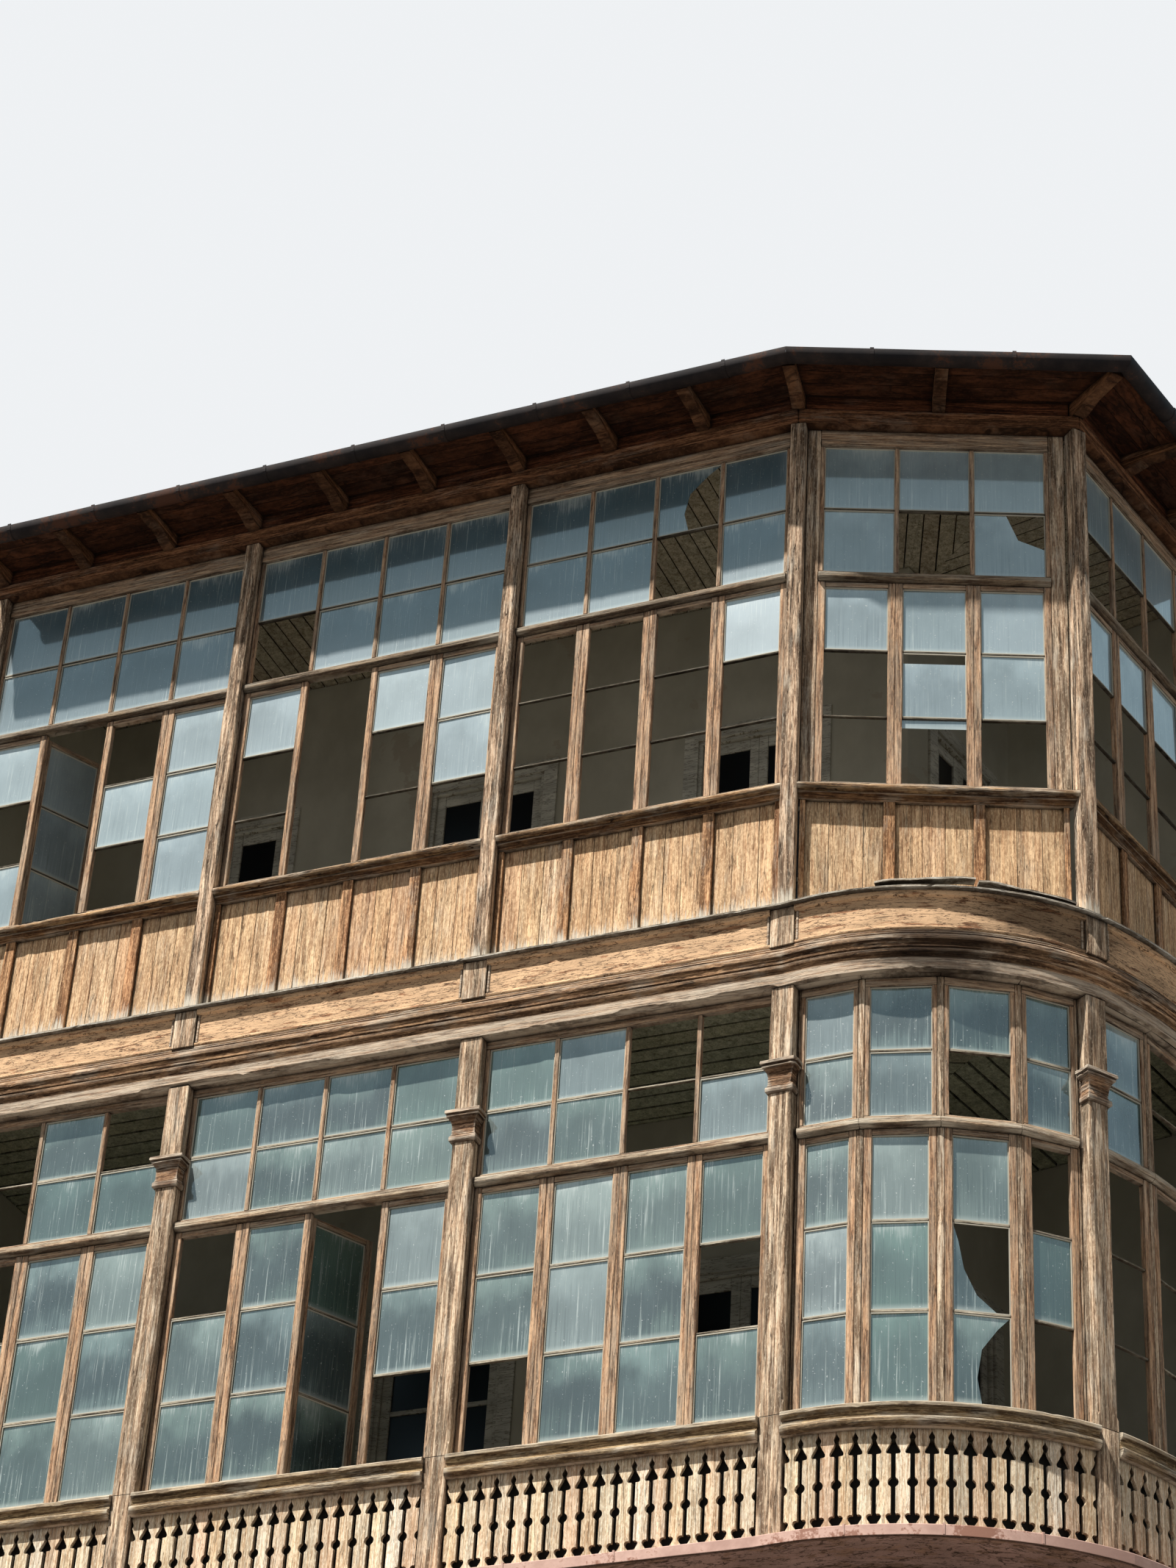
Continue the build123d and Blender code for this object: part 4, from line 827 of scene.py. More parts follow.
def base_pieces():
    shape = [(MOULD_BACK, 0), (-0.017, 0), (-0.017, 0.19), (-0.05, 0.24), (-0.056, 0.36), (-0.07, 0.5),
             (-0.1, 0.6), (-0.142, 0.68), (-0.146, 0.76), (-0.17, 0.79), (-0.17, 1), (MOULD_BACK, 1)]
    profile = eased(high(shape, 0, CORNICE_TOP), 0.008)
    rings = wrapped_rings(profile, 0.05, fronts(profile, -0.01), 0.008, 1.0)
    Maker("base_cornice_finish", "cornice", rings).done("cornice_paint", "base_cornice", smooth=True)
    shape = [(MOULD_BACK, 0), (-0.188, 0), (-0.188, -0.72), (-0.192, -0.75), (-0.196, -0.72), (-0.196, 0.3),
             (-0.192, 0.38), (-0.006, 1), (MOULD_BACK, 1)]
    rings = wrapped_rings(high(shape, CORNICE_TOP, FLOOR_Z), 0.06)
    Maker("ledge_finish", "ledge", rings).done("ledge_sheet", "ledge_flashing", smooth=True)
    seams = Maker("ledge_seams", "ledge")
    fold = 0.006
    ridge = [(-0.1955, CORNICE_TOP - 0.04), (-0.1995, CORNICE_TOP - 0.04), (-0.1995, CORNICE_TOP + 0.03),
             (-0.008, FLOOR_Z + 0.007), (-0.004, FLOOR_Z + 0.001), (-0.194, CORNICE_TOP + 0.024)]
    for i in range(1, 9):
        s = 0.72 * i + 0.11 * math.sin(i * 2.3)
        seams.bar(lower_left, ridge, s - fold, s + fold)
    for bow in bows:
        for i in (1, 2, 3):
            seams.bar(bow.spot(bow.turn * i / 4), ridge, -fold, fold)
    seams.done("ledge_sheet")


FRET_H = RAIL_LOW - FLOOR_Z
FRET_D0 = 0.02
FRET_D1 = 0.046
FRET_W = 0.114


def fret_edge(edge):
    """Right edge of a board, up from its foot: half a heart, ring and spade at the ends of two slits."""
    slit = 0.0125
    points = [(edge, 0.0), (edge - 0.012, 0.002), (edge - 0.016, 0.012), (edge - 0.009, 0.024)]
    top = 0.118
    for share, cut in ((0.0, 0.009), (0.2, 0.014), (0.42, 0.026), (0.6, 0.037), (0.76, 0.043), (0.88, 0.041),
                       (0.96, 0.034), (1.0, 0.024), (0.97, 0.015)):
        points.append((edge - cut, 0.03 + (top - 0.03) * share))
    middle = 0.48 * FRET_H
    points += [(edge - slit, top + 0.004), (edge - slit, middle - 0.031)]
    for k in range(9):
        a = math.pi * (0.16 + 0.68 * k / 8)
        points.append((edge - 0.0315 * math.sin(a) ** 0.9, middle - 0.03 * math.cos(a)))
    low = FRET_H - 0.158
    points += [(edge - slit, middle + 0.031), (edge - slit, low - 0.003)]
    for rise, cut in ((0.0, 0.036), (0.008, 0.042), (0.02, 0.041), (0.034, 0.034), (0.052, 0.023),
                      (0.07, 0.015), (0.084, 0.0105), (0.092, 0.013), (0.1, 0.0165), (0.11, 0.0165),
                      (0.12, 0.011), (0.13, 0.005), (0.142, 0.0)):
        points.append((edge - cut, low + rise))
    points.append((edge, FRET_H))
    return points


def fret_pieces():
    clear = POST_HALF + JOINT
    boards = []
    for run in lower_bays:
        width = run.length - 2 * clear
        count = round(width / FRET_W)
        for i in range(count):
            boards.append((run.spot(clear + width / count * (i + 0.5)), width / count / 2))
    for bow in bows:
        start = math.degrees((clear + 0.003) / bow.radius)
        span = bow.turn - 2 * start
        count = round(math.radians(span) * bow.radius / FRET_W)
        half = (bow.radius - FRET_D1) * math.tan(math.radians(span / count) / 2)
        boards += [(bow.spot(start + span / count * (i + 0.5)), half) for i in range(count)]
    piece = Maker("fret_boards_finish", "fret")
    for index, (place, half) in enumerate(boards):
        right_edge = fret_edge(half - 0.0008)
        outline = right_edge + [(-x, z) for x, z in reversed(right_edge)]
        shift = 0.0015 * math.sin(index * 12.9898)
        rings = [[place.at(x, d + shift, FLOOR_Z + z) for x, z in outline] for d in (FRET_D0, FRET_D1)]
        piece.rings(rings, (index * 0.618) % 1.0)
    piece.done("fret_boards", "fret_boards")


def balustrade_backing():
    """Rails behind the boards, with a near-black sheet between them that stands for the shade behind the
    slits.
    """
    def section(front, back, low, top):
        return bay_rings([(front, low), (back, low), (back, top), (front, top)], POST_HALF, 3.0, 0.1)
    behind = FRET_D1 + 0.045
    rails = [rings for z in (FLOOR_Z + 0.015, RAIL_LOW - 0.07)
             for rings in section(FRET_D1, behind, z, z + 0.055)]
    Maker("balustrade_rails_finish", "inner", rails).done("inner_timber", "balustrade_rails")
    sheet = section(behind, behind + 0.012, FLOOR_Z + 0.001, RAIL_LOW - 0.001)
    Maker("fret_backing", "backing", sheet).done("inner_timber")


def handrail_pieces():
    back = SASH_BACK + 0.02
    shape = [(back, 0), (-0.012, 0), (-0.018, 0.02), (-0.028, 0.07), (-0.037, 0.15), (-0.04, 0.23),
             (-0.039, 0.31), (-0.034, 0.36), (-0.024, 0.38), (-0.016, 0.42), (-0.013, 0.52),
             (-0.016, 0.62), (-0.024, 0.7), (-0.033, 0.75), (-0.038, 0.79), (-0.038, 0.91), (-0.032, 0.95),
             (-0.004, 1), (back, 1)]
    profile = high(shape, RAIL_LOW, RAIL_TOP)
    chips = fronts(profile, -0.025)
    solids = [wear(rings, chips, 0.009) for rings in bay_rings(profile, POST_HALF, 0.035, 0.035)]
    Maker("handrails_finish", "rail", solids).done("weathered_timber", "handrails", smooth=True)


# Frieze between the storeys


def ragged(rings, low_points, seed):
    """Bites out of the lower edge of a board."""
    for ring in rings:
        for i in low_points:
            p = ring[i]
            spot = Vector((p.x, p.y, seed))
            bite = noise.noise(spot * 1.9) + 0.35 * noise.noise(spot * 14.0)
            ring[i] = p + Vector((0, 0, max(0.0, min(0.02, (bite - 0.12) * 0.06))))
    return rings


def frieze_pieces():
    front = 0.03
    shape = [(front, 0), (front, 1), (-0.012, 1), (-0.012, 0.02), (-0.01, 0)]
    solids = [ragged(rings, (3, 4), 5.0) for rings in wrapped_rings(high(shape, LINTEL_Z, FASCIA_TOP), 0.03)]
    Maker("lintel_fascia_finish", "mould", solids).done("weathered_timber", "lintel_fascia")
    shape = [(front, 0), (-0.008, 0), (-0.008, 0.1), (-0.012, 0.14), (-0.022, 0.19), (-0.027, 0.25),
             (-0.028, 0.3), (-0.024, 0.32), (-0.024, 0.36), (-0.03, 0.38), (-0.03, 0.52), (-0.036, 0.57),
             (-0.046, 0.6), (-0.048, 0.63), (-0.048, 0.73), (-0.043, 0.77), (-0.03, 0.8), (-0.026, 0.83),
             (-0.028, 0.88), (-0.024, 0.91), (-0.018, 0.93), (-0.02, 0.97), (-0.018, 1), (front, 1)]
    profile = high(shape, FASCIA_TOP, STEP_TOP)
    solids = wrapped_rings(profile, 0.035, fronts(profile, -0.035), 0.012, 4.0)
    mouldings = Maker("frieze_mouldings_finish", "mould", solids)
    mouldings.done("weathered_timber", "frieze_mouldings", smooth=True)
    shape = [(-0.072, 0.15), (-0.072, 0.62), (-0.068, 0.7), (0, 1), (MOULD_BACK, 1), (MOULD_BACK, 0),
             (-0.061, 0)]
    solids = wrapped_rings(high(shape, DRIP_Z, DECK_Z), 0.03, {0, 1, 2, 6}, 0.02, 6.0)
    Maker("frieze_drip_finish", "drip", solids).done("grey_drip", "frieze_drip")


def frieze_panel_pieces():
    """Painted panels with a bead round them, under a small lip."""
    back = 0.03
    clear = 0.0865
    shape = [(-0.012, 0), (back, 0), (back, 1), (-0.038, 1), (-0.038, 0.91), (-0.034, 0.88), (-0.024, 0.87),
             (-0.014, 0.85), (-0.014, 0.12), (-0.018, 0.11), (-0.022, 0.09), (-0.022, 0.05), (-0.018, 0.03)]
    solids = [wear(rings, amount=0.002)
              for rings in bay_rings(high(shape, STEP_TOP, DRIP_Z), clear, 0.08, 0.06)]
    Maker("frieze_panels_finish", "frieze", solids).done("painted_panel", "frieze_panels", smooth=True)
    beads = Maker("frieze_panel_beads", "mould")
    spots = []
    for run in lower_bays:
        spots += [(run, run.first(clear, 0) + 0.016, 0.0), (run, run.last(clear, 0) - 0.016, 0.0)]
    for bow in bows:
        near, far = (bow.side(i, 12) for i in (0, 11))
        spots += [(near, near.first(clear + 0.018, 0), 0.004), (far, far.last(clear + 0.018, 0), 0.004)]
    for run, s, reach in spots:
        beads.box(run, s - 0.008, s + 0.008, -0.024, reach, STEP_TOP + 0.03, DRIP_Z - 0.04)
    beads.done("weathered_timber", bevel=0.004)


# Windows

# How a pane stands: 1 whole, 0 gone, 3 corner broken out, 4 arc left, 5 side broken off, 9 slipped down
UPPER_TOPS = [["1111", "1111"], ["1111", "0111"], ["1151", "1101"], ["111", "103"], ["1111", "0000"]]
UPPER_LEAVES = [["101", "open", "010", "111"], ["100", "absent", "100", "110"],
                ["000", "000", "000", "100"], ["100", "190", "110"], ["100", "100", "100", "100"]]
LOWER_TOPS = [["1010", "1011"], ["1111", "1111"], ["1100", "1101"]]
LOWER_LEAVES = [["111", "011", "111", "111"], ["011", "111", "open", "110"], ["110", "111", "111", "101"]]
BOW_TOPS = [["11", "11", "10", "11"], ["11", "00", "11", "11"]]
BOW_LEAVES = [["111", "111", "145", "010"], ["000", "000", "110", "111"]]
OPEN_ANGLE = 62.0
SLIP = 0.085

# Outlines of panes in shares of their width and height, from the lower left corner
WHOLE = ((0, 0), (1, 0), (1, 1), (0, 1))
BROKEN = {"3": ((0, 0), (1, 0), (1, 0.45), (0.62, 0.6), (0.45, 1), (0, 1)),
          "4": ((0, 0), (0.8, 0), (0.42, 0.2), (0.2, 0.48), (0.1, 0.8), (0, 1)),
          "5": ((0, 0), (0.5, 0), (0.42, 0.3), (0.5, 0.62), (0.78, 0.86), (1, 1), (0, 1))}
GLASS_T = 0.004
PUTTY_W = 0.007
BAR_FACE = 0.014
BOTTOM_RAIL_H = 0.05
TOP_RAIL_H = 0.042
TOP_STILE_W = 0.03
TOP_SILL_H = 0.034
LOWER_HEAD_H = 0.06
UPPER_HEAD_H = 0.15
FACET_MULLION = 0.018
END_JAMB = 0.014
CHORD_LEAF_W = 0.54


class Joinery:
    """Collects the glass, bars and sash timber of all windows."""

    def __init__(self):
        self.glass = Maker("window_glass", "glass")
        self.bars = Maker("glazing_bars", "bar")
        self.stiles = Maker("casement_stiles_finish", "sash")
        self.rails = Maker("casement_rails_finish", "sash_rail")
        self.tops = Maker("top_light_frames_finish", "sash_rail")
        self.putty = Maker("putty_lines", "putty")
        self.rng = random.Random(11)

    def pane(self, place, a, b, low, high, d, mark):
        """A pane with fillets of old putty round its outside."""
        w = PUTTY_W
        for s0, s1, z0, z1 in ((a, a + w, low, high), (b - w, b, low, high), (a + w, b - w, low, low + w),
                               (a + w, b - w, high - w, high)):
            self.putty.box(place, s0 + 0.0002, s1 - 0.0002, d - 0.009, d - 0.0005, z0 + 0.0002, z1 - 0.0002)
        tint = self.rng.random()
        lean = self.rng.uniform(-0.002, 0.002)
        swing = self.rng.uniform(-0.0025, 0.0025)
        start = a + 0.001
        width = b - a - 0.002
        bottom = low - SLIP if mark == "9" else low
        shares = BROKEN.get(mark, WHOLE)
        rings = [[place.at(start + width * x, front + lean * (2 * y - 1) + swing * (2 * x - 1),
                           bottom + (high - low) * y) for x, y in shares] for front in (d, d + GLASS_T)]
        self.glass.rings(rings, tint, [y for x, y in shares])

    def column(self, place, a, b, low, high, d0, marks):
        """Panes of one column and the bars between them."""
        height = (high - low - BAR_W * (len(marks) - 1)) / len(marks)
        spare = (BAR_W - BAR_FACE) / 2 - 0.001
        for row, mark in enumerate(marks):
            top = high - (height + BAR_W) * row
            if mark != "0":
                over = spare if row else -0.001
                under = spare if row < len(marks) - 1 else -0.001
                self.pane(place, a, b, top - height - under, top + over, d0 + SASH_T / 2, mark)
            if row:
                middle = top + BAR_W / 2
                self.bars.box(place, a + 0.0003, b - 0.0003, d0 + 0.01, d0 + SASH_T - 0.006,
                              middle - BAR_FACE / 2, middle + BAR_FACE / 2)

    def leaf(self, run, s0, s1, z0, z1, state):
        if state == "absent":
            return
        place, a, b, d0 = run, s0, s1, SET_BACK
        if state == "open":
            place, a, b, d0 = run.spot(s0 - STILE_W / 2, SASH_BACK + SHAKE, OPEN_ANGLE), 0.0, s1 - s0, 0.0
            state = "111"
        front = d0 + self.rng.uniform(-0.0015, 0.0015)
        back = d0 + SASH_T
        inner_a = a + STILE_W
        inner_b = b - STILE_W
        low = z0 + BOTTOM_RAIL_H
        high_z = z1 - TOP_RAIL_H
        self.stiles.box(place, a, inner_a, front, back, z0, z1)
        self.stiles.box(place, inner_b, b, front, back, z0, z1)
        self.rails.box(place, inner_a, inner_b, front + 0.002, back - 0.002, z0 + 0.001, low)
        self.rails.box(place, inner_a, inner_b, front + 0.002, back - 0.002, high_z, z1 - 0.001)
        drip = [(front + 0.002, z0 + 0.012), (front - 0.012, z0 + 0.014), (front - 0.012, z0 + 0.024),
                (front + 0.002, z0 + 0.046)]
        self.rails.bar(place, drip, a + 0.012, b - 0.012)
        self.column(place, inner_a, inner_b, low, high_z, d0, state)

    def top_light(self, run, s0, s1, z0, z1, rows, head):
        low = z0 + TOP_SILL_H
        high_z = z1 - head
        self.tops.box(run, s0, s1, SET_BACK, SASH_BACK, high_z + SHAKE, z1)
        self.tops.box(run, s0, s1, SET_BACK, SASH_BACK, z0, low - SHAKE)
        if head == UPPER_HEAD_H:
            self.tops.box(run, s0 + 0.002, s1 - 0.002, SET_BACK - 0.012, SET_BACK, high_z + 0.004,
                          high_z + 0.05)
        columns = list(zip(*rows))
        pitch = (s1 - s0 - TOP_STILE_W) / len(columns)
        for i in range(len(columns) + 1):
            a = s0 + pitch * i
            self.stiles.box(run, a, a + TOP_STILE_W, SET_BACK + 0.001, SASH_BACK - 0.001, low, high_z)
        for i, marks in enumerate(columns):
            a = s0 + pitch * i
            self.column(run, a + TOP_STILE_W, a + pitch, low, high_z, SET_BACK, marks)

    def window(self, run, a, b, levels, tops, states):
        sill, transom, top, head = levels
        width = (b - a) / len(states)
        for i, state in enumerate(states):
            s0 = a + width * i
            self.leaf(run, s0 + SHAKE, s0 + width - SHAKE, sill, transom - TRANSOM_H - SHAKE, state)
        self.top_light(run, a, b, transom, top, tops, head)

    def done(self):
        self.glass.done("glass", "window_panes")
        self.bars.done("sash_timber", bevel=0.003)
        self.putty.done("sash_timber")
        self.stiles.done("sash_timber", "casement_stiles", bevel=0.0035, cut=0.3, jitter=0.0012)
        self.rails.done("sash_timber", "casement_rails", bevel=0.003, cut=0.3, jitter=0.0012)
        self.tops.done("sash_timber", "top_light_frames", bevel=0.003, cut=0.3, jitter=0.0012)


def window_pieces():
    joinery = Joinery()
    levels = (RAIL_TOP, LOWER_TRANSOM_TOP, LINTEL_Z, LOWER_HEAD_H)
    clear = POST_HALF + SHAKE
    for run, tops, states in zip(lower_bays, LOWER_TOPS, LOWER_LEAVES):
        joinery.window(run, *run.span(clear, 0), levels, tops, states)
    for bow, tops, states in zip(bows, BOW_TOPS, BOW_LEAVES):
        for i in range(FACETS):
            run = bow.side(i, FACETS)
            a, b = run.span(FACET_MULLION, SASH_BACK)
            if i == 0:
                a = run.first(clear, SASH_BACK) + END_JAMB
            if i == FACETS - 1:
                b = run.last(clear, SET_BACK if run.half_after < 0 else SASH_BACK) - END_JAMB
            joinery.window(run, a, b, levels, tops[i], [states[i]])
    levels = (SILL_TOP, UPPER_TRANSOM_TOP, PLATE_Z, UPPER_HEAD_H)
    for run, tops, states in zip(upper_runs, UPPER_TOPS, UPPER_LEAVES):
        a, b = run.span(UPPER_HALF + SHAKE, SASH_BACK)
        if run is chord:
            spare = (b - a - CHORD_LEAF_W * len(states)) / 2 + SHAKE
            a += spare
            b -= spare
        joinery.window(run, a, b, levels, tops, states)
    joinery.done()


# Parapet of the upper storey

PARAPET_SET = 0.097
PARAPET_BACK = 0.122
BATTEN_W = 0.078
BATTEN_T = 0.024
FOOT_TOP = DECK_Z + 0.05
HEAD_Z = SILL_LOW - 0.042


def sill_profile():
    """Thick rounded sill that slopes to the front."""
    points = [(SASH_BACK, SILL_LOW), (SASH_BACK, SILL_TOP), (0.04, SILL_TOP), (0.014, SILL_TOP - 0.006)]
    for k in range(9):
        turn = math.pi * (0.46 - 0.96 * k / 8)
        points.append((0.022 - 0.026 * math.cos(turn), SILL_LOW + 0.036 + 0.026 * math.sin(turn)))
    return points + [(0.03, SILL_LOW + 0.006), (0.034, SILL_LOW)]


def head_profile():
    """Small cove under the sill."""
    points = [(PARAPET_BACK, HEAD_Z), (PARAPET_BACK, SILL_LOW), (0.03, SILL_LOW), (0.03, SILL_LOW - 0.006)]
    for k in range(5):
        turn = math.pi / 2 * k / 4
        points.append((0.032 + 0.032 * math.sin(turn), SILL_LOW - 0.008 - 0.02 * (1 - math.cos(turn))))
    return points + [(0.068, SILL_LOW - 0.03), (0.07, HEAD_Z)]


def strips_along(profile, pitch, limit, depth, amount):
    """The same worn strip along each stretch of the upper front."""
    clear = UPPER_HALF + SHAKE
    chips = fronts(profile, limit)
    return [wear(run_rings(run, profile, clear, clear, pitch), chips, depth, amount) for run in upper_runs]


def parapet_pieces():
    foot = [(PARAPET_SET - 0.034, DECK_Z), (PARAPET_BACK, DECK_Z), (PARAPET_BACK, FOOT_TOP),
            (PARAPET_SET - 0.027, FOOT_TOP), (PARAPET_SET - 0.034, FOOT_TOP - 0.008)]
    solids = strips_along(sill_profile(), 0.03, 0.012, 0.008, 0.0018)
    Maker("upper_sills_finish", "sill", solids).done("weathered_timber", "upper_sills", smooth=True)
    solids = strips_along(head_profile(), 0.06, 0.05, 0.004, 0.0012)
    Maker("parapet_rails_finish", "head", solids).done("parapet_boards", "parapet_rails", smooth=True)
    solids = strips_along(foot, 0.04, 0.08, 0.008, 0.002)
    Maker("parapet_foot_strips", "foot", solids).done("parapet_boards", smooth=True)
    panels = Maker("parapet_panels_finish", "panel")
    battens = Maker("parapet_battens_finish", "batten")
    rng = random.Random(3)
    for run in upper_runs:
        columns = 3 if run is chord else 4
        a, b = run.span(UPPER_HALF + SHAKE, PARAPET_BACK)
        pitch = (b - a) / columns
        for i in range(columns):
            cuts = [0.0, rng.uniform(0.3, 0.42), rng.uniform(0.62, 0.74), 1.0]
            for start, end in zip(cuts, cuts[1:]):
                s0 = a + pitch * (i + start) + 0.0012
                s1 = a + pitch * (i + end) - 0.0012
                front = PARAPET_SET + rng.uniform(-0.0015, 0.002)
                panels.box(run, s0, s1, front, PARAPET_BACK, FOOT_TOP, HEAD_Z, rng.random())
        for i in range(columns + 1):
            middle = a + pitch * i
            s0 = middle - BATTEN_W / 2 if i else a + JOINT
            s1 = middle + BATTEN_W / 2 if i < columns else b - JOINT
            front = PARAPET_SET - BATTEN_T - rng.uniform(0.0, 0.004)
            rings = []
            for share in (0.0, 0.04, 0.1, 0.5, 1.0):
                z = FOOT_TOP + (HEAD_Z - FOOT_TOP) * share
                near = front + rng.uniform(-0.0012, 0.0012)
                far = near - front + PARAPET_SET - 0.0022
                rings.append([run.at(s, d, z) for s, d in ((s0, near), (s1, near), (s1, far), (s0, far))])
            battens.rings(rings, rng.random())
    panels.done("parapet_boards", "parapet_panels", bevel=0.002)
    battens.done("parapet_boards", "parapet_battens", bevel=0.0025)


# Posts, transoms and beams, with the wear of old timber


def timber_pieces():
    for node in ("post_pedestals", "post_shafts", "post_heads", "facet_mullions", "upper_jambs"):
        worn(node, "post")
    worn("upper_posts", "upper_post", 0.007, 0.25, 0.003)
    worn("frieze_blocks", "post")
    worn("window_transoms", "transom", 0.004, 0.2)
    worn("lintel_beams", "mould", 0.004, 0.3, 0.001)
    worn("wall_plates", "plate", 0.01, 0.2, 0.004)


def capital_pieces():
    """Square capital: astragal, neck, swelling cyma and a stepped abacus, with split and chipped edges."""
    height = ABACUS_TOP - ASTRAGAL_Z
    shape = [(0.004, -0.004), (0.012, 0.0), (0.017, 0.008), (0.017, 0.034), (0.013, 0.042), (0.007, 0.046),
             (0.009, 0.05), (0.004, 0.062), (0.004, 0.118), (0.006, 0.126), (0.008, 0.138), (0.013, 0.152),
             (0.022, 0.166), (0.032, 0.176), (0.036, 0.18), (0.036, 0.19), (0.032, 0.193), (0.038, 0.197),
             (0.046, 0.202), (0.046, height - 0.006), (0.042, height)]
    leg_steps = (8, 8, 1, 1, 1, 1, 1, 8)
    chips = set(range(16)) | set(range(21, 29))
    last = len(lower_places) - 1
    core = POST_HALF - JOINT
    solids = []
    for i, place in enumerate(lower_places):
        lean = math.sin(math.radians(abs(bow_start / 2))) if i == LEFT_BAYS else 0.0
        back = SET_BACK - 2 * SHAKE - 2 * POST_HALF * lean if i < last else SET_BACK / 3
        rings = []
        for out, rise in shape:
            a = -POST_HALF - (out if i else 0.0)
            b = POST_HALF + (out if i < last else 0.0)
            corners = [(a, -out), (b, -out), (b, back), (core, back), (core, 2 * POST_HALF),
                       (-core, 2 * POST_HALF), (-core, back), (a, back)]
            ring = []
            for (s0, d0), (s1, d1), steps in zip(corners, corners[1:] + corners[:1], leg_steps):
                for k in range(steps):
                    t = k / steps
                    ring.append(place.at(s0 + (s1 - s0) * t, d0 + (d1 - d0) * t, ASTRAGAL_Z + rise))
            rings.append(ring)
        solids.append(wear(rings, chips, 0.016, 0.0015, 3.7 * i))
    Maker("post_capitals_finish", "capital", solids).done("weathered_timber", "post_capitals", smooth=True)


# Ceilings, eaves, roof and gutter

ROOF_SLOPE = 0.12
TAIL = 0.459
ROOF_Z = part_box("roof_boards")[0][2] + ROOF_SLOPE * TAIL
FAR = 20.0


def clipped(outline, run, s0, s1, d0, d1):
    """Convex plan outline cut by a rectangle of a run, as points of s and d."""
    points = [run.how_far(p) for p in outline]
    for axis, limit, keep in ((0, s0, 1), (0, s1, -1), (1, d0, 1), (1, d1, -1)):
        fresh = []
        for i, p in enumerate(points):
            q = points[i - 1]
            inside_p = keep * (p[axis] - limit)
            inside_q = keep * (q[axis] - limit)
            if (inside_p >= 0) != (inside_q >= 0):
                fresh.append(q + (p - q) * (inside_q / (inside_q - inside_p)))
            if inside_p >= 0:
                fresh.append(p)
        points = fresh
    return points if len(points) > 2 else []


def bottom_outlines(node):
    """Plan outlines of the undersides of a node's solids, each with the front that it lies behind."""
    bm = bmesh.new()
    bm.from_mesh(bpy.data.objects[node].data)
    flatten(bm)
    outlines = [[v.co.copy() for v in face.verts] for face in bm.faces if face.normal.z < -0.9]
    bm.free()
    found = []
    for outline in outlines:
        middle = sum(outline, Vector()) / len(outline)
        beside = wing if wing.how_far(middle)[0] > 0.75 else chord
        found.append((outline, left if middle.x < -0.6 else beside))
    return found


def strips(piece, outline, run, pitch, gap, across, level, thickness, rng, slope=0.0):
    """Boards side by side that fill an outline, along a run or across it."""
    count = int(12 / pitch)
    for k in range(-count // 2, count):
        low = k * pitch + rng.uniform(0, 0.3) * gap
        high_side = (k + 1) * pitch - gap
        limits = (low, high_side, -FAR, FAR) if across else (-FAR, FAR, low, high_side)
        points = clipped(outline, run, *limits)
        if points:
            drop = rng.uniform(0.0, 0.25) * gap
            rings = [[run.at(s, d, level + slope * d + rise) for s, d in points]
                     for rise in (-drop, thickness)]
            piece.rings(rings, rng.random())


def ceiling_pieces():
    rng = random.Random(5)
    lower = Maker("lower_ceiling_planks", "plank")
    upper = Maker("upper_ceiling_planks", "upper_plank")
    for outline, run in bottom_outlines("gallery_ceilings"):
        level = outline[0].z
        if level < DECK_Z:
            strips(lower, outline, run, 0.15, 0.02, False, level, 0.02, rng)
        else:
            strips(upper, outline, run, 0.12, 0.009, True, level, 0.02, rng)
    lower.done("inner_timber", "gallery_ceilings")
    upper.done("inner_timber")
    soffit = Maker("roof_boards_finish", "eaves")
    for outline, run in bottom_outlines("roof_boards"):
        strips(soffit, outline, run, 0.153, 0.004, False, ROOF_Z, 0.021, rng, ROOF_SLOPE)
    soffit.done("eaves_timber", "roof_boards")


def roof_pieces():
    """Standing seams on the sheets and a cap over each hip."""
    rng = random.Random(9)
    seams = Maker("roof_seams", "roof")
    for outline, run in bottom_outlines("roof_sheets"):
        for k in range(-2, 14):
            s = 0.56 * k + 0.2
            points = clipped(outline, run, s, s + 0.012, -0.36, FAR)
            if points:
                lean = rng.uniform(-0.004, 0.004)
                seams.rings([[run.at(q + shift, d, ROOF_Z + ROOF_SLOPE * d + rise) for q, d in points]
                             for shift, rise in ((0.0, 0.024), (lean, 0.055))])
    cap = [(-0.045, 0.024), (0.045, 0.024), (0.03, 0.046), (-0.03, 0.046)]
    for run, before in ((chord, left), (wing, chord)):
        hip = Run(run.start, math.degrees(run.half_before) + before.direction)
        stretch = 1 / math.cos(run.half_before)
        seams.rings([[hip.at(s, d * stretch, ROOF_Z + ROOF_SLOPE * d + rise) for s, rise in cap]
                     for d in (-0.43, 0.6, GALLERY_DEPTH)])
    seams.done("roof_metal")


GUTTER_R = 0.062
SHEET_T = 0.004


def half_round(d, z, radius, steps, side=-1):
    """Points of half a circle below its middle, or above it, from the house out."""
    turns = [math.pi * i / steps for i in range(steps + 1)]
    return [(d + radius * math.cos(turn), z + side * radius * math.sin(turn)) for turn in turns]


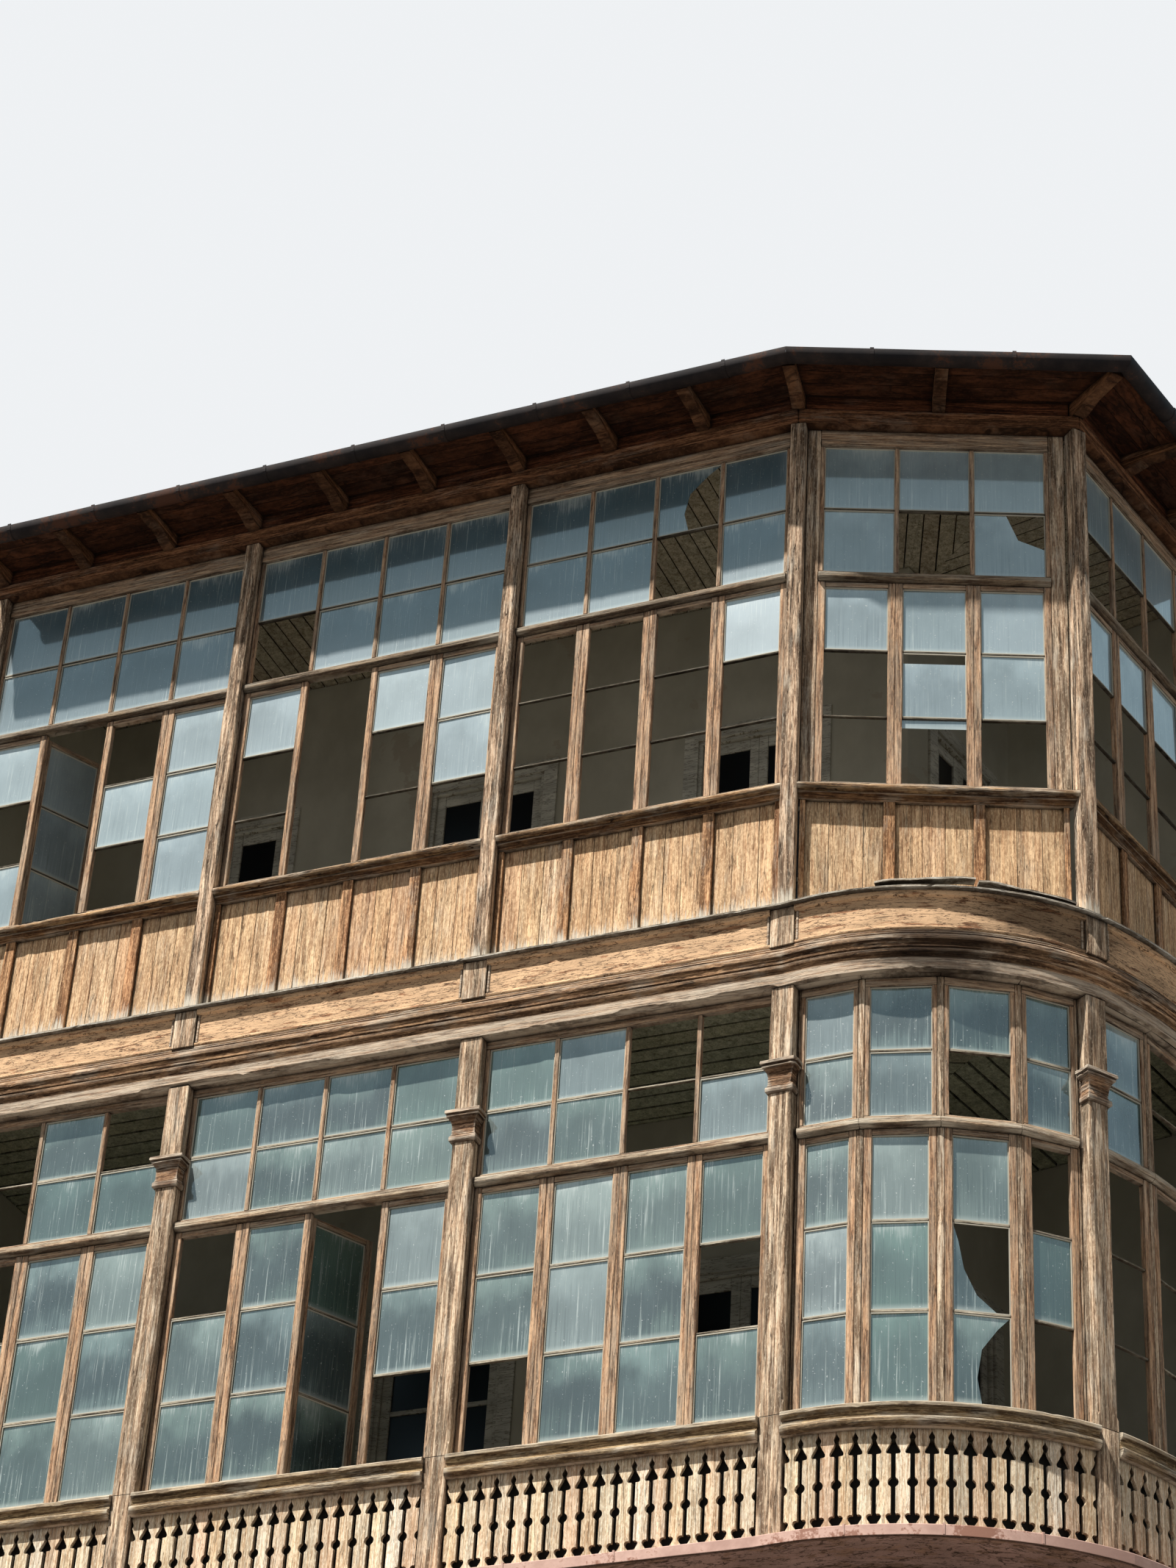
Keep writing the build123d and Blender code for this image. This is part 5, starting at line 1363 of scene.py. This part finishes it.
def gutter_pieces():
    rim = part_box("gutter")[1][2]
    low = rim - 0.03
    middle = -TAIL - SHAKE - GUTTER_R
    outer = half_round(middle, low, GUTTER_R, 12)
    inner = half_round(middle, low, GUTTER_R - SHEET_T, 12)
    roll = half_round(middle - GUTTER_R + SHEET_T, rim - 0.007, 0.007, 6, 1)
    near = [(middle + GUTTER_R - SHEET_T, rim), (middle + GUTTER_R, rim)]
    profile = outer + roll[::-1] + inner[::-1] + near
    ends = ((left, -POST_HALF, 0.0005), (chord, 0.0005, 0.0005), (wing, 0.0005, -POST_HALF))
    solids = [wear(run_rings(run, profile, before, after, 0.4), amount=0.0025) for run, before, after in ends]
    straps = Maker("gutter_straps", "gutter")
    outline = half_round(middle, low, GUTTER_R + SHEET_T, 10)
    outline += [(middle - GUTTER_R - SHEET_T, rim + 0.006), (middle - GUTTER_R + 0.002, rim + 0.006)]
    outline += half_round(middle, low, GUTTER_R - 0.001, 10)[::-1]
    for run, count in ((left, 9), (chord, 2), (wing, 3)):
        for i in range(count):
            s = run.length * (i + 0.5) / count
            straps.bar(run, outline, s - 0.014, s + 0.014)
    cap = outer + [(middle - GUTTER_R, rim - 0.008), (middle + GUTTER_R, rim - 0.008)]
    for run, s in ((left, -POST_HALF + 0.002), (wing, wing.length + POST_HALF - 0.002)):
        straps.bar(run, cap, s - 0.002, s + 0.002)
    Maker("gutter_finish", "gutter", solids).done("gutter_metal", "gutter", smooth=True)
    straps.done("gutter_metal")


# Doors in the house wall

DOOR_STILE = 0.07
DOOR_FRAME = 0.06
DOOR_T = 0.045
DOOR_HEAD = 0.09


def door_leaf(wood, dark, run, a, b, low, top):
    """Glazed leaf with a panel below."""
    front = GALLERY_DEPTH + 0.03
    back = front + DOOR_T
    inner_a = a + DOOR_STILE
    inner_b = b - DOOR_STILE
    head = top - DOOR_HEAD
    panel_low = low + 0.16
    panel_top = low + 0.78
    glass_low = low + 0.9
    wood.box(run, a, inner_a, front, back, low, top)
    wood.box(run, inner_b, b, front, back, low, top)
    rails = [(low, panel_low), (panel_top, glass_low)]
    for k in (1, 2):
        middle = glass_low + (head - glass_low) * k / 3
        rails.append((middle - 0.016, middle + 0.016))
    for z0, z1 in rails + [(head, top)]:
        wood.box(run, inner_a, inner_b, front + 0.004, back - 0.004, z0, z1)
    wood.box(run, inner_a, inner_b, front + 0.014, back - 0.012, panel_low, panel_top)
    wood.box(run, inner_a + 0.04, inner_b - 0.04, front + 0.006, front + 0.014, panel_low + 0.04,
             panel_top - 0.04)
    # Near-black sheet behind the glass: painted shade of the room beyond.
    dark.box(run, inner_a, inner_b, front + 0.02, front + 0.026, glass_low, head)


def door_pieces():
    """A pair of leaves in each doorway."""
    wood = Maker("door_leaves_finish", "door")
    dark = Maker("door_glass", "dark")
    doors = [(left, BAY * (i + 0.5) + 0.15, 0.5) for i in range(LEFT_BAYS)]
    x, y = wing.at(0, GALLERY_DEPTH)[:2]
    corner = (x + (GALLERY_DEPTH - y) * wing.along[0] / wing.along[1], GALLERY_DEPTH)
    doors.append((wing, (wing.how_far(corner)[0] + wing.length + POST_HALF) / 2 + 0.04, 0.425))
    for run, centre, half in doors:
        jamb = half - DOOR_FRAME - SHAKE
        for z0, z1 in ((FLOOR_Z, FLOOR_Z + 2.85), (DECK_Z, DECK_Z + 2.91)):
            for a, b in ((centre - jamb, centre - SHAKE), (centre + SHAKE, centre + jamb)):
                door_leaf(wood, dark, run, a, b, z0 + SHAKE, z1 - DOOR_FRAME - SHAKE)
    wood.done("door_paint", "door_leaves", bevel=0.003)
    dark.done("glass")


def loose_drip():
    """Broken lengths of the drip that have lifted off at the corner."""
    solids = []
    for start, end, lift0, lift1, out in ((0.3, 0.6, 0.012, 0.045, 0.075), (0.61, 0.92, 0.032, 0.008, 0.07)):
        rings = []
        for k in range(13):
            t = k / 12
            level = DECK_Z + 0.002 + lift0 + (lift1 - lift0) * t + 0.004 * math.sin(9 * t)
            edge = out + 0.01 * noise.noise(Vector((t * 4, start, 0)))
            section = ((edge, -0.004), (edge - 0.002, 0.012), (-0.01, 0.018), (-0.01, 0.002))
            angle = CORNER_TURN * (start + (end - start) * t)
            rings.append([bows[0].at(angle, reach, level + rise) for reach, rise in section])
        solids.append(wear(rings, {0, 1}, 0.012, 0.002, start))
    Maker("loose_drip_boards", "drip", solids).done("grey_drip")


base_pieces()
fret_pieces()
balustrade_backing()
handrail_pieces()
frieze_pieces()
frieze_panel_pieces()
window_pieces()
parapet_pieces()
timber_pieces()
capital_pieces()
ceiling_pieces()
roof_pieces()
gutter_pieces()
door_pieces()
loose_drip()
make_camera()
make_lights()
make_floor()

bpy.context.scene.view_settings.view_transform = "Standard"
